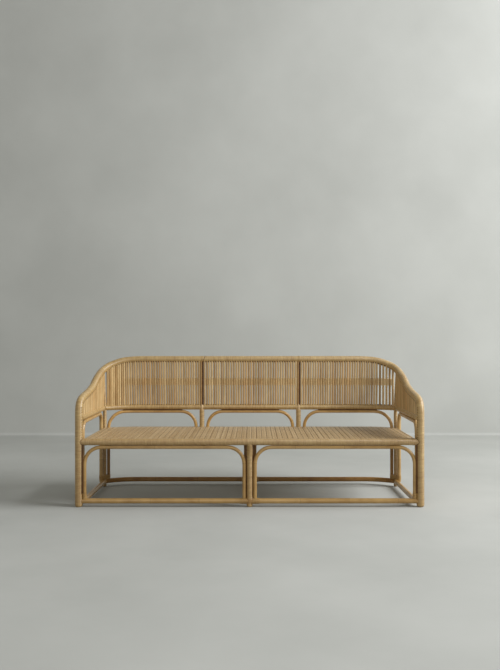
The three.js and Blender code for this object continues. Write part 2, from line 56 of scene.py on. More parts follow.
# ---------------------------------------------------------------- the two long bent poles
# Each is one length of thick rattan pole, steamed and bent into front leg, arm, rear corner and top rail.
# It is wrapped from the floor to the seam by the divider in one strip of cane peel, laid edge to edge.
# The foot is rounded over, and the peel's turns vary in tone as the strip does along its length.
LEG_X, FRONT_Y, BACK_Y, RAIL_Z = .978, -.355, .355, .823
POST_X, POST_Y, DIVIDER_X = .945, .280, .318
ENDS = (("front", FRONT_Y), ("rear", BACK_Y))
ARM_START_Z, HOOP_RADIUS, HOOP_FOOT = .550, .022, .013
PEEL_PITCH, PEEL_RELIEF, HOOP_SIDES = .0055, .00050, 20
# Rows of the arm and the corner: share of half width, of depth from front to back, of rise from the arm's start.
ARM_SHARES = np.array([
    (1.000, 0.000, 0.000), (.999, .017, .132), (.998, .070, .219), (.995, .214, .283), (.992, .366, .343),
    (.988, .507, .439), (.985, .585, .539), (.980, .704, .653), (.973, .850, .753), (.945, .930, .846),
    (.902, .965, .913), (.856, .986, .964), (.803, 1.000, .988), (.736, 1.000, 1.000)])
PEEL_PALE, PEEL_DEEP, PEEL_SEAM = "#caad72", "#9b7640", "#4e3112"


def spline_through(points, steps):
    """Points of a centripetal spline. Between two points it is the cubic a + b t + c t^2 + d t^3 whose end speeds
    come from the three spans round it, each timed by the square root of its length."""
    p = np.vstack([2 * points[0] - points[1], points, 2 * points[-1] - points[-2]])
    span = np.sqrt(np.linalg.norm(np.diff(p, axis=0), axis=1))[:, None]
    s0, s1, s2 = span[:-2], span[1:-1], span[2:]
    p0, p1, p2, p3 = p[:-3], p[1:-2], p[2:-1], p[3:]
    v1 = ((p1 - p0) / s0 - (p2 - p0) / (s0 + s1) + (p2 - p1) / s1) * s1
    v2 = ((p2 - p1) / s1 - (p3 - p1) / (s1 + s2) + (p3 - p2) / s2) * s1
    t = (np.arange(steps) / steps)[None, :, None]
    a, b, c, d = p1, v1, 3 * (p2 - p1) - 2 * v1 - v2, 2 * (p1 - p2) + v1 + v2
    line = a[:, None] + b[:, None] * t + c[:, None] * t ** 2 + d[:, None] * t ** 3
    return np.vstack([line.reshape(-1, 3), points[-1:]])


def unit(rows):
    """The rows as directions of length 1."""
    return rows / np.linalg.norm(rows, axis=1)[:, None]


def read_off(places, stations, rows):
    """A table's rows at places between their stations, by straight lines from one row to the next."""
    return np.stack([np.interp(places, stations, column) for column in rows.T], axis=-1)


def travel(line):
    """Distance from the line's start to each of its points: the running sum of the spans."""
    return np.concatenate([[0], np.cumsum(np.linalg.norm(np.diff(line, axis=0), axis=1))])


def even_path(points, step=.004, ease=0.0):
    """The line again with equal steps. Where it is eased, each point becomes the mean of its neighbours within that
    distance, and the ends stay because the line is continued there by its own reflection through the end point."""
    points = np.asarray(points, float)
    s = travel(points)
    places = np.linspace(0, s[-1], int(s[-1] / step) + 2)
    line = read_off(places, s, points)
    reach = int(ease / step)
    for _ in range(2 if reach else 0):
        longer = np.vstack([2 * line[0] - line[reach:0:-1], line, 2 * line[-1] - line[-2:-reach - 2:-1]])
        total = np.vstack([np.zeros(3), np.cumsum(longer, axis=0)])
        line = (total[2 * reach + 1:] - total[:-2 * reach - 1]) / (2 * reach + 1)
    return line


def frames_on(line, aside):
    """At each point the first side is the given direction made square to the line, and the second is square to both."""
    along, aside = unit(np.gradient(line, axis=0)), np.asarray(aside, float)
    first = unit(aside - along * (along @ aside)[:, None])
    return first, np.cross(along, first)


def ring_section(radius, sides):
    """A round section: radius times the cosine and the sine of the turn, with its outward directions."""
    turn = np.arange(sides + 1) / sides * 2 * pi
    outward = np.stack([np.cos(turn), np.sin(turn)], axis=1)
    return radius * outward, outward


def cell_corners(at, i, j):
    """What lies at the four corners of the grid's cells, taken round each."""
    return np.stack([at(i, j), at(i, j + 1), at(i + 1, j + 1), at(i + 1, j)], axis=-1)


def cut_in_two(corners):
    """Four-cornered faces as triangles: the first half of each, then the second half of each."""
    return np.vstack([corners[:, [0, 1, 2]], corners[:, [0, 2, 3]]])


def wound_surface(line, aside, section, pitch, relief, swell=None):
    """A strip wound on a line. Row i of the grid lies at turn k and share f of the strip's width, and column q at
    share q of the turn, so the point is at s = (k + f + q - 1) pitch along the line. There it stands on the section,
    less relief (1 - h(f)), where h is 0 at the strip's edge and 1 at its middle. The last column of a row is the
    first column of the row one turn on. Points past an end are drawn back to it, and a fan closes each end."""
    base, outward = section
    sides = len(base) - 1
    shares, heights = np.array([0, .14, .5, .86]), np.array([0, .85, 1, .85])
    s = travel(line)
    turns = int(np.ceil(s[-1] / pitch)) + 2
    row = np.arange(4 * turns)
    q = np.arange(sides) / sides
    place = (row[:, None] // 4 + shares[row % 4][:, None] + q[None] - 1) * pitch
    spot = np.clip(place, 0, s[-1])
    height = np.where((place <= 0) | (place >= s[-1]), 0, heights[row % 4][:, None])
    first, second = frames_on(line, aside)
    size = 1 if swell is None else swell(spot)[..., None]
    flat = base[None, :-1] * size - outward[None, :-1] * (relief * (1 - height))[..., None]
    points = (read_off(spot, s, line) + read_off(spot, s, first) * flat[..., :1]
              + read_off(spot, s, second) * flat[..., 1:])
    number = row[:, None] * sides + np.arange(sides)[None]
    number = np.where(place <= 0, np.arange(sides)[None], number)
    number = np.where(place >= s[-1], (len(row) - 1) * sides + np.arange(sides)[None], number)
    i, j = np.meshgrid(np.arange(4 * turns - 5), np.arange(sides), indexing="ij")
    corner = lambda a, b: number[a + 4 * (b == sides), b % sides]
    triangles = cut_in_two(cell_corners(corner, i, j).reshape(-1, 4))
    whole = np.all(triangles != np.roll(triangles, 1, axis=1), axis=1)
    maps = np.stack([cell_corners(lambda a, b: a // 4 + shares[a % 4], i, j),
                     cell_corners(lambda a, b: b / sides, i, j)], axis=-1)
    triangles, uv = [triangles[whole]], [cut_in_two(maps.reshape(-1, 4, 2))[whole]]
    points = points.reshape(-1, 3)
    middle = base[:-1].mean(axis=0)
    for number_of_end, rim in enumerate((np.arange(sides)[::-1], (len(row) - 1) * sides + np.arange(sides))):
        triangles.append(np.stack([np.full(sides, len(points)), rim, np.roll(rim, -1)], axis=1))
        uv.append(np.tile([[.5, .5]], (sides, 3, 1)) + [turns * number_of_end, 0])
        end = -number_of_end
        points = np.vstack([points, line[end] + first[end] * middle[0] + second[end] * middle[1]])
    return points, np.vstack(triangles), np.vstack(uv)


def finished_piece(name, surface, material, nodes=(), sharp=40):
    """Puts a surface of points, faces and face corners' map places into a mesh piece that rides on the frame."""
    points, faces, uv = surface
    used, faces = np.unique(faces, return_inverse=True)
    faces = faces.reshape(len(uv), -1)
    mesh = bpy.data.meshes.new(name)
    mesh.vertices.add(len(used))
    mesh.vertices.foreach_set("co", points[used].astype(np.float32).ravel())
    mesh.loops.add(faces.size)
    mesh.loops.foreach_set("vertex_index", faces.astype(np.int32).ravel())
    mesh.polygons.add(len(faces))
    mesh.polygons.foreach_set("loop_start", (np.arange(len(faces)) * faces.shape[1]).astype(np.int32))
    mesh.uv_layers.new(name="strip").data.foreach_set("uv", uv.astype(np.float32).ravel())
    mesh.update(calc_edges=True)
    mesh.validate()
    mesh.shade_smooth()
    mesh.set_sharp_from_angle(angle=radians(sharp))
    mesh.materials.append(material)
    piece = bpy.data.objects.new(name, mesh)
    bpy.context.scene.collection.objects.link(piece)
    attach(piece, "root")
    if nodes:
        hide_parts(*nodes)
    return piece


def paint(code):
    """A written colour as the shader takes it: each eighth-bit share c becomes ((c + .055) / 1.055) to the 2.4."""
    shares = np.array([int(code[k:k + 2], 16) / 255 for k in (1, 3, 5)])
    return (*np.where(shares <= .04045, shares / 12.92, ((shares + .055) / 1.055) ** 2.4), 1)


def feed(node, inputs):
    """Links the inputs that get a signal and sets the others, each by its name or number."""
    for label, value in dict(inputs).items():
        if isinstance(value, Signal):
            value.tree.links.new(value.socket, node.inputs[label])
        else:
            node.inputs[label].default_value = value


def new_node(tree, kind, inputs=(), **settings):
    """A shader node with its settings and its inputs."""
    node = tree.nodes.new("ShaderNode" + kind)
    for label, value in settings.items():
        setattr(node, label, value)
    feed(node, inputs)
    return node


def reckon(operation, *values, clamp=False):
    """One step of arithmetic on signals and numbers, as a node."""
    tree = next(value.tree for value in values if isinstance(value, Signal))
    return Signal(new_node(tree, "Math", enumerate(values), operation=operation, use_clamp=clamp).outputs[0])


class Signal:
    """The output of a node, reckoned with as if it were a number."""

    def __init__(self, socket):
        self.socket, self.tree = socket, socket.id_data

    def __add__(self, other):
        return reckon("ADD", self, other)

    def __sub__(self, other):
        return reckon("SUBTRACT", self, other)

    def __rsub__(self, other):
        return reckon("SUBTRACT", other, self)

    def __mul__(self, other):
        return reckon("MULTIPLY", self, other)

    def __truediv__(self, other):
        return reckon("DIVIDE", self, other)


def off_centre(value):
    """How far the fraction of a value is from a half."""
    return reckon("ABSOLUTE", reckon("FRACT", value) - .5)


def between(share, low, high):
    """The mix of two colours by a share."""
    return Signal(new_node(share.tree, "Mix", zip((0, 6, 7), (share, low, high)), data_type="RGBA").outputs[2])


def ranged(value, low, high, to_low, to_high):
    """A value led evenly from one range to another and held at its ends."""
    inputs = {"Value": value, "From Min": low, "From Max": high, "To Min": to_low, "To Max": to_high}
    return Signal(new_node(value.tree, "MapRange", inputs).outputs["Result"])


def noise_at(place, scale, detail=2.0, roughness=.5):
    """Soft noise at a place."""
    inputs = dict(Vector=place, Scale=scale, Detail=detail, Roughness=roughness)
    return Signal(new_node(place.tree, "TexNoise", inputs).outputs["Fac"])


def chance_at(number):
    """A random share for each whole number."""
    return Signal(new_node(number.tree, "TexWhiteNoise", {"W": number}, noise_dimensions="1D").outputs["Value"])


def place_of(x, y, z=0.0):
    """A place put together from signals."""
    return Signal(new_node(x.tree, "CombineXYZ", enumerate((x, y, z))).outputs[0])


def object_place(tree):
    """The place in the piece's own coordinates."""
    return Signal(new_node(tree, "TexCoord").outputs["Object"])


def parts_of(place):
    """The three parts of a place."""
    return [Signal(part) for part in new_node(place.tree, "SeparateXYZ", {0: place}).outputs]


def raised(height, strength, distance):
    """The normal that a height gives through a bump."""
    inputs = dict(Strength=strength, Distance=distance, Height=height)
    return Signal(new_node(height.tree, "Bump", inputs).outputs[0])


def new_group(name, inputs, outputs):
    """A shader node group: its inputs, each given with its kind and value, as signals, and its output node."""
    group = bpy.data.node_groups.new(name, "ShaderNodeTree")
    for label, (kind, value) in inputs.items():
        socket = group.interface.new_socket(name=label, in_out="INPUT", socket_type="NodeSocket" + kind)
        socket.default_value = value
    for label, kind in outputs.items():
        group.interface.new_socket(name=label, in_out="OUTPUT", socket_type="NodeSocket" + kind)
    given = group.nodes.new("NodeGroupInput").outputs
    return {label: Signal(given[label]) for label in inputs}, group.nodes.new("NodeGroupOutput")


def placed_group(group, **inputs):
    """The outputs of a node group, by name, in the tree of its input Across."""
    node = new_node(inputs["Across"].tree, "Group", inputs, node_tree=group)
    return {output.name: Signal(output) for output in node.outputs}


def make_cane_skin():
    """Cane that has been split or scraped. Long fibres run with Along and lie side by side with Across, and Number
    tells one strip from the next. The tone goes from Deep to Pale by slow waves along the strip, a step from strip
    to strip, the fibres, and stains of about a hand's width. Height is that of the fibres."""
    given, made = new_group("cane skin", dict(
        Across=("Float", 0), Along=("Float", 0), Number=("Float", 0), Pale=("Color", (1, 1, 1, 1)),
        Deep=("Color", (0, 0, 0, 1)), Fibres=("Float", 9), Steps=("Float", .5), Waves=("Float", .5)),
        dict(Color="Color", Roughness="Float", Height="Float"))
    along, number = given["Along"], given["Number"]
    fibres = noise_at(place_of(given["Across"] * given["Fibres"], along, number), 1.0, 3.0, .6)
    slow = noise_at(place_of(along * .7, number), 1.0, 1.0)
    stains = noise_at(object_place(along.tree), 7.0, 3.0, .55)
    stepped = (chance_at(number) - .5) * given["Steps"]
    waves = ranged(slow, .3, .7, -.5, .5) * given["Waves"]
    grain, cloud = ranged(fibres, .3, .7, -.20, .20), ranged(stains, .3, .7, -.16, .16)
    share = reckon("ADD", stepped + waves + (grain + cloud), .55, clamp=True)
    feed(made, dict(Color=between(share, given["Deep"], given["Pale"]), Roughness=ranged(fibres, .3, .7, .54, .40),
                    Height=fibres))
    return made.id_data


def make_strip_edges():
    """Where strips lie side by side. Seam is 1 in the groove between two strips and 0 on a strip, from its distance
    to the nearer edge, and Height falls towards that edge in a round."""
    given, made = new_group("strip edges", dict(Across=("Float", 0), Groove=("Float", .12)),
                            dict(Seam="Float", Height="Float"))
    distance = reckon("ABSOLUTE", given["Across"] - .5)
    seam = reckon("DIVIDE", distance - (.5 - given["Groove"]), given["Groove"], clamp=True)
    feed(made, dict(Seam=reckon("POWER", seam, 1.6), Height=1.0 - distance * distance))
    return made.id_data


CANE_SKIN = make_cane_skin()
STRIP_EDGES = make_strip_edges()


def blank_material(name):
    """A new material, its tree and its one shader."""
    material = bpy.data.materials.new(name)
    material.use_nodes = True
    return material, material.node_tree, material.node_tree.nodes["Principled BSDF"]


def mapped_material(name):
    """A new material, its one shader, and the two parts of the piece's own map."""
    material, tree, shader = blank_material(name)
    u, v, _ = parts_of(Signal(new_node(tree, "UVMap", uv_map="strip").outputs[0]))
    return material, shader, u, v


def peel_finish(name, pale, deep, seam, waves=.8, coat=.80, foot=0.0):
    """Wound peel: cane skin along the one long strip, darkened in the grooves between turns, under satin varnish. It
    may be browner by a share from about the seat's height down towards the floor."""
    material, shader, u, v = mapped_material(name)
    across = reckon("FRACT", u)
    skin = placed_group(CANE_SKIN, Across=across, Along=(reckon("FLOOR", u) + v) * 2.6, Pale=paint(pale),
                        Deep=paint(deep), Fibres=9.0, Steps=0.0, Waves=waves)
    edge = placed_group(STRIP_EDGES, Across=across, Groove=.17)
    color = skin["Color"]
    if foot:
        z = parts_of(object_place(u.tree))[2]
        color = between(ranged(z, .10, .42, foot, 0.0), color, paint(deep))
    feed(shader, {"Base Color": between(edge["Seam"] * .75, color, paint(seam)),
                  "Roughness": skin["Roughness"] + edge["Seam"] * .25, "Specular IOR Level": .50,
                  "Coat Weight": coat, "Coat Roughness": .28,
                  "Normal": raised(edge["Height"] + skin["Height"] * .25, .5, .0012)})
    return material


WOUND_PEEL = peel_finish("wound peel", PEEL_PALE, PEEL_DEEP, PEEL_SEAM, foot=.45)


def rounded_foot(radius, foot):
    """The share of the radius near the floor: a quarter round of the foot's height, then the whole radius."""
    def swell(s):
        short = 1 - np.clip(s / foot, 0, 1)
        return 1 - (foot * .75 / radius) * (1 - np.sqrt(1 - short ** 2))
    return swell


def wound_pole(name, line, aside, radius, sides, nodes, material=WOUND_PEEL, swell=None,
               pitch=PEEL_PITCH, relief=PEEL_RELIEF):
    """A wrapped pole whose peel stands out to the radius."""
    surface = wound_surface(line, aside, ring_section(radius, sides), pitch, relief, swell)
    return finished_piece(name, surface, material, nodes)


arm_points = np.array([0, FRONT_Y, ARM_START_Z]) + ARM_SHARES * [LEG_X, BACK_Y - FRONT_Y, RAIL_Z - ARM_START_Z]
for word, side in SIDES:
    bent = spline_through(arm_points, 12)
    whole = np.vstack([[LEG_X, FRONT_Y, 0], bent, [DIVIDER_X, BACK_Y, RAIL_Z]]) * [side, 1, 1]
    wound_pole("wrapped_bent_pole_" + word, even_path(whole, .004, .016), (-side, -1, .3), HOOP_RADIUS, HOOP_SIDES,
               ["arm_hoop_" + word], swell=rounded_foot(HOOP_RADIUS, HOOP_FOOT))

# ---------------------------------------------------------------- the middle of the top rail
# A straight wrapped pole between the two bent ones. Dowels inside hold the joints, which show only as a seam
# under a few closer turns of peel.
SEAM_LENGTH, SEAM_PROUD, SEAM_PITCH = .011, .0006, .0037
PEEL_RING = peel_finish("joint peel", "#b8975f", "#8c6a37", "#4a3014", coat=.30)
wound_pole("wrapped_top_rail", even_path([[-DIVIDER_X, BACK_Y, RAIL_Z], [DIVIDER_X, BACK_Y, RAIL_Z]]), (0, -1, .3),
           HOOP_RADIUS, HOOP_SIDES, ["top_rail_centre"])
for word, side in SIDES:
    ends = [[side * DIVIDER_X - SEAM_LENGTH / 2, BACK_Y, RAIL_Z], [side * DIVIDER_X + SEAM_LENGTH / 2, BACK_Y, RAIL_Z]]
    wound_pole("rail_seam_" + word, even_path(ends, .002), (0, -1, .3), HOOP_RADIUS + SEAM_PROUD, HOOP_SIDES, [],
               PEEL_RING, pitch=SEAM_PITCH)

# ---------------------------------------------------------------- corner posts
# Slim wrapped poles at the rear corners, from the floor to the underside of the bent poles, where they are pegged.
# Over the lower rails they lean a little forward and outward to meet them.
CORNER_POST_RADIUS, POST_FOOT, POST_HEAD, LOWER_RAIL_Z = .012, .007, (.9516, .2485, .7555), .508
for word, side in SIDES:
    stations = np.array([[POST_X, POST_Y, 0], [POST_X, POST_Y, LOWER_RAIL_Z], POST_HEAD]) * [side, 1, 1]
    wound_pole("wrapped_corner_post_" + word, even_path(stations, .004, .03), (-side, -1, 0), CORNER_POST_RADIUS, 16,
               ["corner_post_" + word], swell=rounded_foot(CORNER_POST_RADIUS, POST_FOOT))

# ---------------------------------------------------------------- lower rails of the back and the sides
# Wrapped poles on one level. The back one is bent at both ends to follow the plan of the corners, and the side
# ones run straight from the legs to the corner posts. All are coped on to what they meet.
LOWER_RAIL_RADIUS, CORNER_START_X, CORNER_RADIUS = .016, .745, .304167


def plan_y(x):
    """The back's place for each x: straight behind the middle, then forward on a circle's arc past the corner start."""
    past = np.maximum(np.abs(x) - CORNER_START_X, 0)
    return BACK_Y - CORNER_RADIUS + np.sqrt(CORNER_RADIUS ** 2 - past ** 2)


def behind(x, z):
    """Points stood up along the plan of the back."""
    return np.stack([x, plan_y(x), z + 0 * x], axis=1)


def plan_path(start, end, z):
    """A level line along the plan of the back."""
    return even_path(behind(np.linspace(start, end, 240), z))


SIDE_RAIL_ENDS = np.array([[LEG_X - .012, FRONT_Y, LOWER_RAIL_Z], [POST_X + .008, POST_Y, LOWER_RAIL_Z]])
wound_pole("wrapped_lower_back_rail", plan_path(-POST_X, POST_X, LOWER_RAIL_Z), (0, 0, 1), LOWER_RAIL_RADIUS, 16,
           ["lower_back_rail"])
for word, side in SIDES:
    wound_pole("wrapped_lower_side_rail_" + word, even_path(SIDE_RAIL_ENDS * [side, 1, 1]), (0, 0, 1),
               LOWER_RAIL_RADIUS, 16, ["lower_side_rail_" + word])

# ---------------------------------------------------------------- short posts under the lower back rail
# Wrapped posts that carry the lower back rail on the seat. Their peel runs on over the rail, before and behind, and
# is wound to a point at the foot of the divider, in a paler peel that is a painted highlight on the point.
SHORT_POST_RADIUS, REAR_RAIL_Z = .016, .367
# Rows of the point: height from the rail's middle, distance of its own middle before the rail's, radius.
POST_POINT = np.array([(-.0190, .0000, .0162), (-.0120, .0034, .0150), (-.0020, .0078, .0112), (.0080, .0098, .0078),
                       (.0160, .0092, .0048), (.0225, .0082, .0016)])
# A paler peel for the points: painted highlight.
POINT_PEEL_PAINTED_HIGHLIGHT = peel_finish("point peel painted highlight", "#d2b585", "#b08d5a", "#604325", .4)
for word, side in SIDES:
    foot, head = np.array([side * DIVIDER_X, BACK_Y, REAR_RAIL_Z]), np.array([side * DIVIDER_X, BACK_Y, LOWER_RAIL_Z])
    wound_pole("wrapped_short_post_" + word, even_path([foot, head]), (0, -1, 0), SHORT_POST_RADIUS, 16,
               ["short_post_" + word])
    for place, way in (("front", -1), ("back", 1)):
        line = spline_through(head + POST_POINT[:, 1:2] * [0, way, 0] + POST_POINT[:, :1] * [0, 0, 1], 6)
        line = even_path(line, .001)
        size = lambda s, line=line: np.interp(s, travel(line), np.interp(line[:, 2] - LOWER_RAIL_Z, POST_POINT[:, 0],
                                                                         POST_POINT[:, 2])) / SHORT_POST_RADIUS
        wound_pole("post_point_%s_%s" % (place, word), line, (0, -1, 0), SHORT_POST_RADIUS, 16, [], POINT_PEEL_PAINTED_HIGHLIGHT,
                   size, .0040)

# ---------------------------------------------------------------- the rails and bearers under the deck
# Plain scraped cane poles that nobody sees from the front: the rear rail, the two side rails and five bearers.
# They are notched on to the front roll and nailed, and the deck is laid on them.
SEAT_RAIL_RADIUS, BEARER_RADIUS, DECK_TOP, DECK_THICK, DECK_FALL = .013, .011, .388, .012, .008
SEAT_SIDE_X, DECK_HALF_WIDTH, JOINT_GAP, RAIL_NOTCH, BEARERS = .9382, .9512, .0003, .006, 5
PLAIN_SIDES, JOINT_SPACING = 16, .28


def ringed_surface(rings, starts, ends, map_at, hub_map=(.5, .5)):
    """Skins over rings of points, which are numbered by skin, ring and place round the ring. A fan of triangles round
    a start point and another round an end point close each skin. The map comes from those three numbers."""
    count, rows, sides = rings.shape[:3]
    n, i, j = np.meshgrid(np.arange(count), np.arange(rows - 1), np.arange(sides), indexing="ij")
    faces = [cut_in_two(cell_corners(lambda a, b: (n * rows + a) * sides + b % sides, i, j).reshape(-1, 4))]
    maps = cell_corners(lambda a, b: np.stack(map_at(n, a, b), axis=-1), i, j)
    maps = [cut_in_two(maps.swapaxes(-1, -2).reshape(-1, 4, 2))]
    n, j = (grid.ravel() for grid in np.meshgrid(np.arange(count), np.arange(sides), indexing="ij"))
    for end, row in enumerate((0, rows - 1)):
        hub = count * (rows * sides + end) + n
        a, b = (n * rows + row) * sides + j, (n * rows + row) * sides + (j + 1) % sides
        faces.append(np.stack([hub, a, b] if end else [hub, b, a], axis=-1))
        maps.append(np.broadcast_to(hub_map, (count, 2))[n][:, None].repeat(3, axis=1))
    return np.vstack([rings.reshape(-1, 3), starts, ends]), np.vstack(faces), np.vstack(maps)


def cane_surface(line, aside, radius, sides, first_joint):
    """A bare cane pole. Ring i stands at distance s, and its radius is that of the pole times 1 + .035 times the bell
    curve of the distance to the nearest growth joint. The map's second part counts those joints."""
    joints = (travel(line) - first_joint) / JOINT_SPACING
    distance = (joints - np.round(joints)) * JOINT_SPACING
    size = radius * (1 + .035 * np.exp(-(distance / .005) ** 2))
    turn = np.arange(sides) / sides * 2 * pi
    first, second = frames_on(line, aside)
    rings = line[:, None] + size[:, None, None] * (first[:, None] * np.cos(turn)[None, :, None]
                                                   + second[:, None] * np.sin(turn)[None, :, None])
    return ringed_surface(rings[None], line[:1], line[-1:], lambda n, a, b: (b / sides, joints[a]))


def bare_finish(name, pale, deep, coat, pith_with_painted_light=None):
    """Bare cane: cane skin round the pole, with a dark thin line at each growth joint. A cane split down its length
    shows its pale pith on the first half of the way round; the pith colour given is painted paler, as painted light."""
    material, shader, u, v = mapped_material(name)
    skin = placed_group(CANE_SKIN, Across=u, Along=v * 6.0, Number=reckon("FLOOR", v), Pale=paint(pale),
                        Deep=paint(deep), Fibres=26.0, Steps=.25, Waves=.4)
    line = ranged(off_centre(v + .5), .002, .010, .40, 0.0)
    color = between(line, skin["Color"], paint("#5d4526"))
    if pith_with_painted_light:
        color = between(ranged(u, .49, .53, 0.0, 1.0), paint(pith_with_painted_light), color)
    feed(shader, {"Base Color": color, "Roughness": skin["Roughness"], "Specular IOR Level": .35,
                  "Coat Weight": coat, "Coat Roughness": .22, "Normal": raised(skin["Height"] * .3 - line, .35, .0006)})
    return material


HIDDEN_CANE = bare_finish("scraped cane", "#a08154", "#78582f", .0)


def bare_pole(name, line, aside, radius, nodes, material, first_joint=.1, sides=PLAIN_SIDES):
    """A bare cane pole as a piece."""
    return finished_piece(name, cane_surface(line, aside, radius, sides, first_joint), material, nodes)


def fall_at(y):
    """How far the deck has fallen at a depth: evenly from front to back."""
    return DECK_FALL * (y - FRONT_Y) / (BACK_Y - FRONT_Y)


bare_pole("cane_rear_seat_rail", plan_path(-POST_X, POST_X, REAR_RAIL_Z)[::2], (0, 0, 1), SEAT_RAIL_RADIUS,
          ["seat_rear_rail"], HIDDEN_CANE)
under_deck = DECK_TOP - DECK_THICK - JOINT_GAP
for word, side in SIDES:
    z = under_deck - SEAT_RAIL_RADIUS
    ends = [[side * SEAT_SIDE_X, y, z - fall_at(y)] for y in (FRONT_Y + RAIL_NOTCH, POST_Y)]
    bare_pole("cane_side_seat_rail_" + word, even_path(ends, .007), (0, 0, 1), SEAT_RAIL_RADIUS,
              ["seat_side_rail_" + word], HIDDEN_CANE, .17)
for index in range(1, BEARERS + 1):
    x = (2 * index / (BEARERS + 1) - 1) * DECK_HALF_WIDTH
    z = under_deck - BEARER_RADIUS
    ends = [[x, y, z - fall_at(y)] for y in (FRONT_Y + RAIL_NOTCH, BACK_Y - RAIL_NOTCH)]
    bare_pole("cane_bearer_%d" % index, even_path(ends, .007), (0, 0, 1), BEARER_RADIUS, ["seat_bearer_%d" % index],
              HIDDEN_CANE, .04 + .045 * index)
for word, side in SIDES:
    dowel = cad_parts["top_rail_dowel_" + word]
    dowel.data.materials.clear()
    dowel.data.materials.append(HIDDEN_CANE)

# ---------------------------------------------------------------- the front roll of the seat
# A thick round pole between the front legs, wrapped in strips as wide as the deck's strands, so that the deck
# seems to run over its front edge. Its ends are coped on to the legs, and a dark strand is laid round each joint: a
# dark joint line that is also painted contact shade.
ROLL_RADIUS, ROLL_Z, STRAND_PITCH = .019, .371, .0050
ROLL_PEEL = peel_finish("roll peel", "#bfa26c", "#98723e", "#50351a")
wound_pole("wrapped_seat_roll", even_path([[-LEG_X, FRONT_Y, ROLL_Z], [LEG_X, FRONT_Y, ROLL_Z]]), (0, 0, 1),
           ROLL_RADIUS, 20, ["seat_front_roll"], ROLL_PEEL, pitch=STRAND_PITCH)
# Dark strand round the roll's joints: partly a dark joint line, partly painted contact shade.
COPE_STRAND = bare_finish("cope strand", "#5a3d1e", "#38220d", .10)


def cope_line(side):
    """Where the roll runs into the leg. At turn a round the roll, y and z are those of the roll's skin, and x is the
    leg's middle less the root of its radius squared less the y distance squared."""
    turn = np.linspace(-.83 * pi, .83 * pi, 80)
    y, z = -ROLL_RADIUS * np.cos(turn), ROLL_RADIUS * np.sin(turn)
    x = LEG_X - np.sqrt(HOOP_RADIUS ** 2 - y ** 2)
    return np.stack([side * x, FRONT_Y + y, ROLL_Z + z], axis=1)


for word, side in SIDES:
    bare_pole("cope_strand_" + word, even_path(cope_line(side), .0015), (1, 0, 0), .0013, [], COPE_STRAND,
              sides=6)

# ---------------------------------------------------------------- the woven deck
# A mat of slim cane strands that run from front to back over the bearers, woven with thin cross strands. Every
# sixth gap is a little wider, and the strands turn down over the rear rail, where they are tacked.
STRAND_GROUP, DECK_START_Y, DECK_SIDE_X, DECK_SIDE_END, DECK_LAP = 6, FRONT_Y + .004, .931, .266, .0105
STRAND_DIP, GROUP_DIP, OVER_RAIL = .0006, .0022, .0012


def deck_surface():
    """The top stands at x across and share t from front to back: y = start + t (end(x) - start), and z is the deck's
    level less its fall, turned down on the rear rail's round, less the dip of the gap between strands: a half sine
    across each strand, deeper at every sixth. The underside is flat and a deck's thickness lower, and a wall joins
    the two all round."""
    strands = int(round(2 * DECK_HALF_WIDTH / STRAND_PITCH))
    shares = np.array([0, .22, .5, .78])
    column = np.append((np.arange(strands)[:, None] + shares[None]).ravel(), strands)
    x = (column / strands - .5) * 2 * DECK_HALF_WIDTH
    end = np.where(np.abs(x) > DECK_SIDE_X, DECK_SIDE_END, plan_y(x) + DECK_LAP)
    t = np.concatenate([np.linspace(0, .955, 15), np.linspace(.965, 1, 6)])
    y = DECK_START_Y + t[:, None] * (end - DECK_START_Y)[None]
    from_rail = y - plan_y(x)[None]
    skin = SEAT_RAIL_RADIUS + OVER_RAIL
    round_top = REAR_RAIL_Z + np.sqrt(np.maximum(skin ** 2 - from_rail ** 2, 1e-6))
    level = DECK_TOP - fall_at(y)
    top = np.where(from_rail > 0, np.minimum(level, round_top), level)
    gap = np.abs(np.sin(pi * column))
    from_group = np.abs(column / STRAND_GROUP - np.round(column / STRAND_GROUP)) * STRAND_GROUP
    dip = STRAND_DIP * (1 - gap) + GROUP_DIP * np.clip(1 - from_group / .3, 0, 1)
    rows, columns = y.shape
    upper, lower = (np.stack([np.broadcast_to(x, y.shape), y, z], axis=-1).reshape(-1, 3)
                    for z in (top - dip[None], level - DECK_THICK))
    number = np.arange(rows * columns).reshape(rows, columns)
    below = number + rows * columns
    grid = lambda n: np.stack([n[:-1, :-1], n[:-1, 1:], n[1:, 1:], n[1:, :-1]], axis=-1).reshape(-1, 4)
    rim = np.concatenate([number[0, :-1], number[:-1, -1], number[-1, :0:-1], number[:0:-1, 0]])
    next_rim = np.roll(rim, -1)
    walls = np.stack([rim, rim + rows * columns, next_rim + rows * columns, next_rim], axis=-1)
    faces = np.vstack([grid(number), grid(below)[:, ::-1], walls])
    maps = np.stack([np.broadcast_to(column, y.shape), y / STRAND_PITCH], axis=-1).reshape(-1, 2)
    return np.vstack([upper, lower]), faces, np.vstack([maps, maps])[faces]


